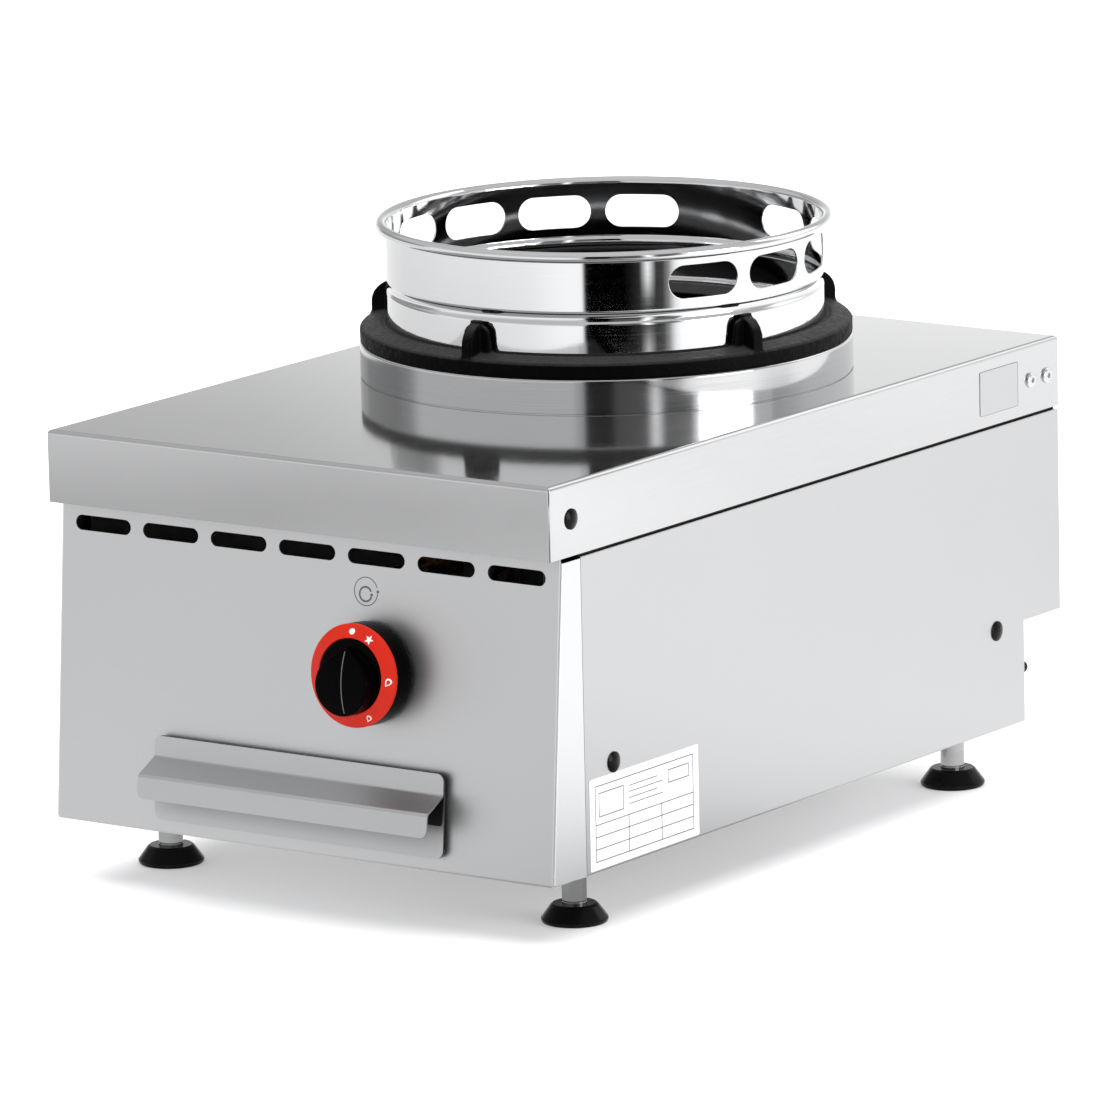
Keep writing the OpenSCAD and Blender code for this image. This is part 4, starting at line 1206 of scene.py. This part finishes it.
def screws():
    v, f = socket_head(5.2, 2.4, 2.1)
    parts = [(turned(v, (s * 200.0, y, 275.0), (s, 0, 0)), f) for s in (-1, 1) for y in (564.1, 584.2)]
    v, f = joined(parts)
    make("skirt_screws", v, f, "chassis", M["fastener"], ["hob_screws"], sharp=30)
    v, f = socket_head(4.0, 2.2, 1.7)
    parts = [(turned(v, (s * 188.0, 597.2, z), (0, 1, 0)), f) for s in (-1, 1) for z in (130.0, 234.0)]
    v, f = joined(parts)
    make("rear_panel_screws", v, f, "chassis", M["fastener"], ["rear_screws"], sharp=30)


def side_plate(loops, y, z, x0, x1):
    """A flat outline (along Y, along Z) on the right-hand side, from x0 out to x1."""
    v, f = slab(loops, x0, x1)
    return np.column_stack((v[:, 2], v[:, 0] + y, v[:, 1] + z)), f


def plates():
    v, f = side_plate([rrect(46.4, 29.8, 1.0, 6)], 524.5, 275.2, 200.0, 200.45)
    make("blank_badge", v, f, "chassis", M["badge"], ["badge_plate"], sharp=30, bevel=0.15,
         flat_area=100)
    # A dark underlay sticking out past the badge's rear edge and a little at top and bottom: painted shadow line round
    # the badge.
    v, f = side_plate([rrect(46.8, 30.4, 1.2, 6)], 525.2, 275.15, 200.0, 200.16)
    make("badge_shadow_underlay", v, f, "chassis", M["mark"], sharp=30, weighted=False)
    v, f = side_plate([rrect(122.8, 60.0, 1.2, 6)], 100.1, 73.0, 199.0, 199.26)
    make("blank_label", v, f, "chassis", M["label"], ["data_plate"], sharp=30, weighted=False)
    parts = []

    def frame_box(y0, y1, z0, z1, line):
        o = np.array([(y0, z0), (y1, z0), (y1, z1), (y0, z1)], float)
        i = np.array([(y0 + line, z0 + line), (y1 - line, z0 + line), (y1 - line, z1 - line), (y0 + line, z1 - line)], float)
        parts.append(side_plate([o, i], 38.7, 43.0, 199.255, 199.29))

    def rule(y0, y1, z0, z1):
        o = np.array([(y0, z0), (y1, z0), (y1, z1), (y0, z1)], float)
        parts.append(side_plate([o], 38.7, 43.0, 199.255, 199.29))

    frame_box(6, 116.8, 5, 55, 0.7)
    for k in range(3):
        rule(6.5, 116.3, 13.0 + 8.0 * k, 13.65 + 8.0 * k)
    rule(43.0, 43.8, 5.5, 29.0)
    rule(80.0, 80.8, 5.5, 29.0)
    frame_box(10, 38, 34, 50, 0.7)
    frame_box(88, 112, 41, 50, 0.7)
    for k in range(4):
        rule(44.0, 82.0 - 6.0 * (k % 2), 36.0 + 4.0 * k, 36.6 + 4.0 * k)
    v, f = joined(parts)
    make("label_rules", v, f, "chassis", M["ink"], doubles=0, sharp=30, weighted=False)


def inlet():
    n = 72
    a = np.linspace(0, 2 * math.pi, n, endpoint=False)
    c, s = np.cos(a), np.sin(a)
    hexr = 16 * math.cos(math.pi / 6) / np.cos((a % (math.pi / 3)) - math.pi / 6)
    y0 = 554.0

    def ring(r, h):
        r = np.broadcast_to(r, a.shape)
        h = np.broadcast_to(h, a.shape)
        return np.column_stack((r * c, r * s, h))

    rings = [ring(7.0, -19.8), ring(9.6, -19.8), ring(10.0, -19.4), ring(10.0, 0.05)]
    rings += [ring(np.minimum(hexr, 15.2), 0.05), ring(hexr, 0.7), ring(hexr, 7.4), ring(np.minimum(hexr, 14.6), 8.05)]
    rings += [ring(10.9, 8.05), ring(9.4, 8.4), ring(9.4, 9.6)]
    pitch = 1.814
    for h in np.arange(9.8, 32.8, 0.2):
        ph = (h / pitch - a / (2 * math.pi)) % 1.0
        tri = 1 - np.abs(2 * ph - 1)
        fade = min(1.0, (h - 9.6) / 1.5, (33.4 - h) / 1.6)
        rings.append(ring(9.35 + 1.1 * np.clip(tri * 1.25 - 0.1, 0, 1) * fade, h))
    rings += [ring(9.3, 33.2), ring(8.7, 34.0), ring(7.7, 34.0), ring(7.4, 33.6), ring(7.4, 2.0)]
    v, f = loft(rings)
    make("inlet_threaded", turned(v, (150.0, y0, 77.0), (0, 1, 0)), f, "chassis", M["brass"], ["gas_inlet"],
         sharp=28, doubles=0)


hob_pan()
collar()
wok_ring()
iron_ring()
front_panel()
side_panels()
rear_sheet()
panel_marks()
tray_front()
tray_handle()
knob()
grip_line()
dial()
dial_marks()
pads()
plugs()
screws()
plates()
inlet()


# ------------------------------------------------------------------ pieces kept as drawn in CAD
for nd, mt in (
    ("base_panel", "inner"), ("spill_bowl", "enamel"), ("burner_bracket", "inner"), ("burner_body", "iron"),
    ("burner_bolts", "fastener"), ("injector_holder", "brass"), ("injector", "brass"), ("supply_pipe", "copper"),
    ("gas_valve", "brass"), ("valve_nut", "fastener"), ("gas_rail", "fastener"), ("inlet_locknut", "fastener"),
    ("pilot_bracket", "inner"), ("pilot_burner", "brass"), ("pilot_pipe", "copper"), ("thermocouple", "copper"),
    ("tray_runner_left", "inner"), ("tray_runner_right", "inner"), ("foot_studs", "fastener"), ("foot_nuts", "fastener"),
    ("drip_tray", "inner"), ("valve_plunger", "brass"), ("knob_spindle", "fastener"), ("burner_crown", "brass"),
    ("burner_cap", "cap"),
):
    NODE[nd].data.materials.clear()
    NODE[nd].data.materials.append(M[mt])


# ------------------------------------------------------------------ floor, light, camera
def stage_mesh(name, verts, faces, base, rough, emit=None):
    me = bpy.data.meshes.new(name)
    me.from_pydata([tuple(v) for v in verts], [], faces)
    m, nt, p = shader(name, base, 0.0, rough)
    cloud = noise(nt, (0.7, 0.7, 0.7), 2.0, 0.5)
    nt.links.new(ramp(nt, cloud, [(0.3, tuple(c * 0.985 for c in base)), (0.7, base)]), p.inputs["Base Color"])
    me.materials.append(m)
    ob = bpy.data.objects.new(name, me)
    SCENE.collection.objects.link(ob)
    return ob


stage_mesh("floor", [(-15, -15, 0), (15, -15, 0), (15, 15, 0), (-15, 15, 0)], [(0, 1, 2, 3)], (0.88, 0.88, 0.885), 0.9)

CENTRE = Vector((0.0, (RY - YM) * MM, 0.33))
CAM = Vector((3.825107, -5.400619, 1.555586))
VIEW_AZ = math.atan2(CAM.y - CENTRE.y, CAM.x - CENTRE.x)


def around(deg, dist, z=0.0):
    """A point at an angle from the camera's direction, seen from the ring: positive is to its right."""
    a = VIEW_AZ + math.radians(deg)
    return Vector((CENTRE.x + dist * math.cos(a), CENTRE.y + dist * math.sin(a), z))


def studio_card(name, rows, tones):
    """A sheet of points with a brightness at each point; it shows in reflections only."""
    nr, nc = len(rows), len(rows[0])
    me = bpy.data.meshes.new(name)
    me.from_pydata([tuple(p) for r in rows for p in r], [],
                   [(i * nc + j, i * nc + j + 1, (i + 1) * nc + j + 1, (i + 1) * nc + j)
                    for i in range(nr - 1) for j in range(nc - 1)])
    tone = me.attributes.new("tone", "FLOAT", "POINT")
    tone.data.foreach_set("value", [float(t) for r in tones for t in r])
    m = bpy.data.materials.new(name)
    m.use_nodes = True
    nt = m.node_tree
    nt.nodes.clear()
    out, em = nt.nodes.new("ShaderNodeOutputMaterial"), nt.nodes.new("ShaderNodeEmission")
    at = nt.nodes.new("ShaderNodeAttribute")
    at.attribute_name = "tone"
    nt.links.new(at.outputs["Fac"], em.inputs["Strength"])
    nt.links.new(em.outputs["Emission"], out.inputs["Surface"])
    m.cycles.emission_sampling = "NONE"
    me.materials.append(m)
    ob = bpy.data.objects.new(name, me)
    SCENE.collection.objects.link(ob)
    ob.visible_camera = ob.visible_diffuse = ob.visible_shadow = False
    ob.visible_transmission = ob.visible_volume_scatter = False
    return ob


def keyed(table, x):
    return np.interp(x, [k[0] for k in table], [k[1] for k in table])


# floor as the sheet metal sees it: brightness by angle from the camera and distance from the ring
FLOOR_D = [0.15, 0.35, 0.5, 0.7, 0.95, 1.3, 1.6, 1.9, 2.5, 3.5, 6.0, 12.0]
FLOOR_T = {
    -180: [0.3, 0.5, 0.7, 0.9, 1.0, 1.05, 1.05, 1.05, 1.05, 1.05, 1.0, 1.0],
    -126: [0.4, 0.7, 0.85, 0.9, 0.9, 0.82, 0.80, 0.86, 0.95, 1.0, 1.0, 1.0],
    -100: [0.4, 0.75, 0.95, 1.0, 1.0, 0.78, 0.66, 0.88, 1.0, 1.05, 1.05, 1.05],
    -65: [0.4, 0.8, 1.0, 1.05, 1.05, 0.80, 0.62, 0.92, 1.05, 1.1, 1.1, 1.1],
    -40: [0.4, 0.8, 1.0, 1.05, 1.05, 0.92, 0.88, 1.02, 1.1, 1.1, 1.1, 1.1],
    -22: [0.3, 0.6, 0.8, 0.9, 0.9, 1.0, 1.12, 1.2, 1.22, 1.2, 1.1, 1.1],
    -13: [0.3, 0.5, 0.55, 0.15, 0.20, 0.95, 1.15, 1.22, 1.22, 1.1, 1.0, 1.0],
    0: [0.3, 0.5, 0.55, 0.08, 0.12, 0.90, 1.10, 1.20, 1.20, 1.1, 1.0, 1.0],
    14: [0.3, 0.5, 0.6, 0.15, 0.30, 0.95, 1.15, 1.22, 1.22, 1.15, 1.1, 1.1],
    22: [0.3, 0.6, 0.9, 1.0, 1.10, 1.20, 1.25, 1.25, 1.25, 1.2, 1.1, 1.1],
    40: [0.3, 0.8, 1.2, 1.30, 1.30, 1.30, 1.30, 1.30, 1.30, 1.3, 1.25, 1.2],
    60: [0.8, 1.36, 1.50, 1.40, 1.34, 1.36, 1.42, 1.45, 1.40, 1.35, 1.3, 1.3],
    80: [0.8, 1.38, 1.48, 1.38, 1.33, 1.36, 1.42, 1.44, 1.40, 1.36, 1.3, 1.3],
    92: [0.8, 1.38, 1.47, 1.38, 1.40, 1.60, 1.50, 1.44, 1.40, 1.38, 1.3, 1.3],
    102: [0.8, 1.38, 1.46, 1.36, 1.31, 1.34, 1.40, 1.42, 1.42, 1.40, 1.3, 1.3],
    110: [0.8, 1.38, 1.45, 1.36, 1.30, 1.32, 1.40, 1.42, 1.42, 1.40, 1.3, 1.3],
    150: [0.8, 1.2, 1.30, 1.28, 1.26, 1.28, 1.30, 1.30, 1.30, 1.30, 1.2, 1.2],
    180: [0.3, 0.5, 0.7, 0.9, 1.0, 1.05, 1.05, 1.05, 1.05, 1.05, 1.0, 1.0],
}
angles = np.arange(-180, 181, 4)
keys = sorted(FLOOR_T)
by_d = np.array([np.interp(angles, keys, [FLOOR_T[k][i] for k in keys]) for i in range(len(FLOOR_D))])
# a greyer strip to the right, seen in the collar only
STRIP_D = [(1.42, 0.0), (1.54, 1.0), (1.74, 1.0), (1.79, 0.0)]
STRIP_A = [(68, 0.0), (78, 1.0), (88, 1.0), (98, 0.0)]
rings = sorted(FLOOR_D + [d for d, _ in STRIP_D])
tones = [[np.interp(d, FLOOR_D, by_d[:, j]) * (1 - 0.5 * keyed(STRIP_D, d) * keyed(STRIP_A, a)) for j, a in enumerate(angles)]
         for d in rings]
studio_card("floor_card", [[around(a, d, 0.003) for a in angles] for d in rings], tones)

# standing card on the camera's side: seen in the wok ring low down and in the collar higher up
LOW = [(-14, 1.22), (-11.5, 1.2), (-9.8, 0.0), (9, 0.0), (13, 0.01), (17, 0.03), (24.5, 0.04), (28, 0.06), (31, 0.30),
       (34, 1.0), (37, 1.3), (40, 1.3)]
HIGH = [(-14, 0.75), (-10.5, 0.6), (-9, 0.0), (1, 0.0), (4, 0.10), (17, 0.14), (25, 0.14), (36, 0.18), (39, 1.2), (40, 1.3)]
STREAK = [(16.8, 0.0), (18.8, 0.5), (20.5, 1.0), (22.2, 0.6), (24.6, 0.0)]
RISE = [(0.15, 0.5), (0.175, 0.6), (0.187, 0.03), (0.199, 0.0), (0.207, 0.05), (0.216, 0.6), (0.226, 1.2), (0.32, 1.2), (0.40, 1.5),
        (1.1, 1.5)]
angles = np.arange(-14, 40.1, 0.5)
heights = [0.15, 0.165, 0.175, 0.181, 0.187, 0.199, 0.207, 0.216, 0.226, 0.24, 0.32, 0.40, 0.60, 1.1]
studio_card("camera_side_card", [[around(a, 1.0 + 0.227 * z, z) for a in angles] for z in heights],
            [[keyed(LOW if z < 0.35 else HIGH, a) + keyed(STREAK, a) * keyed(RISE, z) for a in angles] for z in heights])

# standing card to the left, seen in the collar by way of the hob
LEFT = [(-156, 0.85), (-146, 0.40), (-112, 0.32), (-102, 0.45), (-94, 0.88)]
angles = np.arange(-156, -93.9, 2.0)
studio_card("left_card", [[around(a, 2.2, z) for a in angles] for z in (0.3, 0.6, 0.9, 1.2)],
            [[t if z < 1 else 0.6 for t in keyed(LEFT, angles)] for z in (0.3, 0.6, 0.9, 1.2)])

# standing card behind the hob, bright low down, with a brighter patch to the right
BACK = [(0.30, 1.3), (0.42, 1.2), (0.48, 1.05), (0.51, 1.03), (0.55, 0.88), (0.59, 0.76), (0.66, 0.66), (0.8, 0.60), (1.6, 0.56)]
ALONG = [(-3.6, 0.75), (-1.4, 0.76), (-1.0, 0.83), (-0.85, 0.95), (-0.6, 0.99), (-0.3, 0.97), (2.0, 0.95)]
PATCH = [(0.1, 0.0), (0.3, 1.0), (0.85, 1.0), (1.15, 0.0)]
ABOVE = [(0.55, 0.0), (0.66, 1.0)]
xs = [-3.6, -2.4, -1.8, -1.4, -1.2, -1.0, -0.85, -0.6, -0.3, 0.1, 0.2, 0.3, 0.6, 0.85, 1.15, 1.5, 2.0]
studio_card("back_card", [[(x, 1.0, z) for x in xs] for z, _ in BACK],
            [[t * keyed(ALONG, x) + (1.65 - t) * keyed(PATCH, x) * keyed(ABOVE, z) for x in xs] for z, t in BACK])

world = bpy.data.worlds.new("studio")
world.use_nodes = True
wt = world.node_tree
bg = wt.nodes["Background"]
wc = wt.nodes.new("ShaderNodeTexCoord")
sep = wt.nodes.new("ShaderNodeSeparateXYZ")
wt.links.new(wc.outputs["Generated"], sep.inputs["Vector"])
wt.links.new(ramp(wt, remap(wt, sep.outputs["Z"], 0.0, 1.0, 0.0, 1.0),
                  [(0.0, (1.02, 1.025, 1.035)), (0.175, (0.90, 0.905, 0.912)), (0.3, (0.66, 0.663, 0.67)),
                   (0.6, (0.60, 0.603, 0.61)), (0.85, (0.66, 0.663, 0.67)), (1.0, (0.70, 0.703, 0.71))]),
             bg.inputs["Color"])
bg.inputs["Strength"].default_value = 1.0
SCENE.world = world


def softbox(name, place, target, size, size_y, radiance, camera=False, **flags):
    li = bpy.data.lights.new(name, "AREA")
    li.shape, li.size, li.size_y = "RECTANGLE", size, size_y
    li.energy = radiance * math.pi * size * size_y
    ob = bpy.data.objects.new(name, li)
    SCENE.collection.objects.link(ob)
    ob.location = place
    ob.rotation_euler = (Vector(target) - Vector(place)).to_track_quat("-Z", "Y").to_euler()
    ob.visible_camera = camera
    for k, val in flags.items():
        setattr(ob, k, val)
    return ob


softbox("overhead", (-0.4, 1.2, 4.0), (-0.4, 1.2, 0.0), 7.5, 7.5, 0.9, visible_glossy=False)
softbox("floor_fill", (-0.4, 1.2, 4.2), (-0.4, 1.2, 0.0), 7.5, 7.5, 1.8, visible_glossy=False).data.use_shadow = False
softbox("right_front", around(51, 1.9, 0.55), (0.1, 0.0, 0.3), 1.15, 0.9, 3.6)

cam_data = bpy.data.cameras.new("camera")
cam_data.sensor_fit, cam_data.sensor_width, cam_data.lens = "HORIZONTAL", 36.0, 332.41
cam_data.shift_x, cam_data.shift_y = 0.00592, -0.00139
cam_data.clip_start, cam_data.clip_end = 0.1, 60.0
cam = bpy.data.objects.new("camera", cam_data)
SCENE.collection.objects.link(cam)
yaw, pitch, roll = 0.6173, -0.2036, -0.0221
fwd = Vector((-math.sin(yaw) * math.cos(pitch), math.cos(yaw) * math.cos(pitch), math.sin(pitch)))
right = fwd.cross(Vector((0, 0, 1))).normalized()
upv = right.cross(fwd)
r2 = right * math.cos(roll) + upv * math.sin(roll)
u2 = upv * math.cos(roll) - right * math.sin(roll)
rot = Matrix((r2, u2, -fwd)).transposed()
cam.matrix_world = Matrix.Translation(CAM) @ rot.to_4x4()
SCENE.camera = cam
SCENE.view_settings.view_transform = "Standard"
SCENE.view_settings.look = "None"
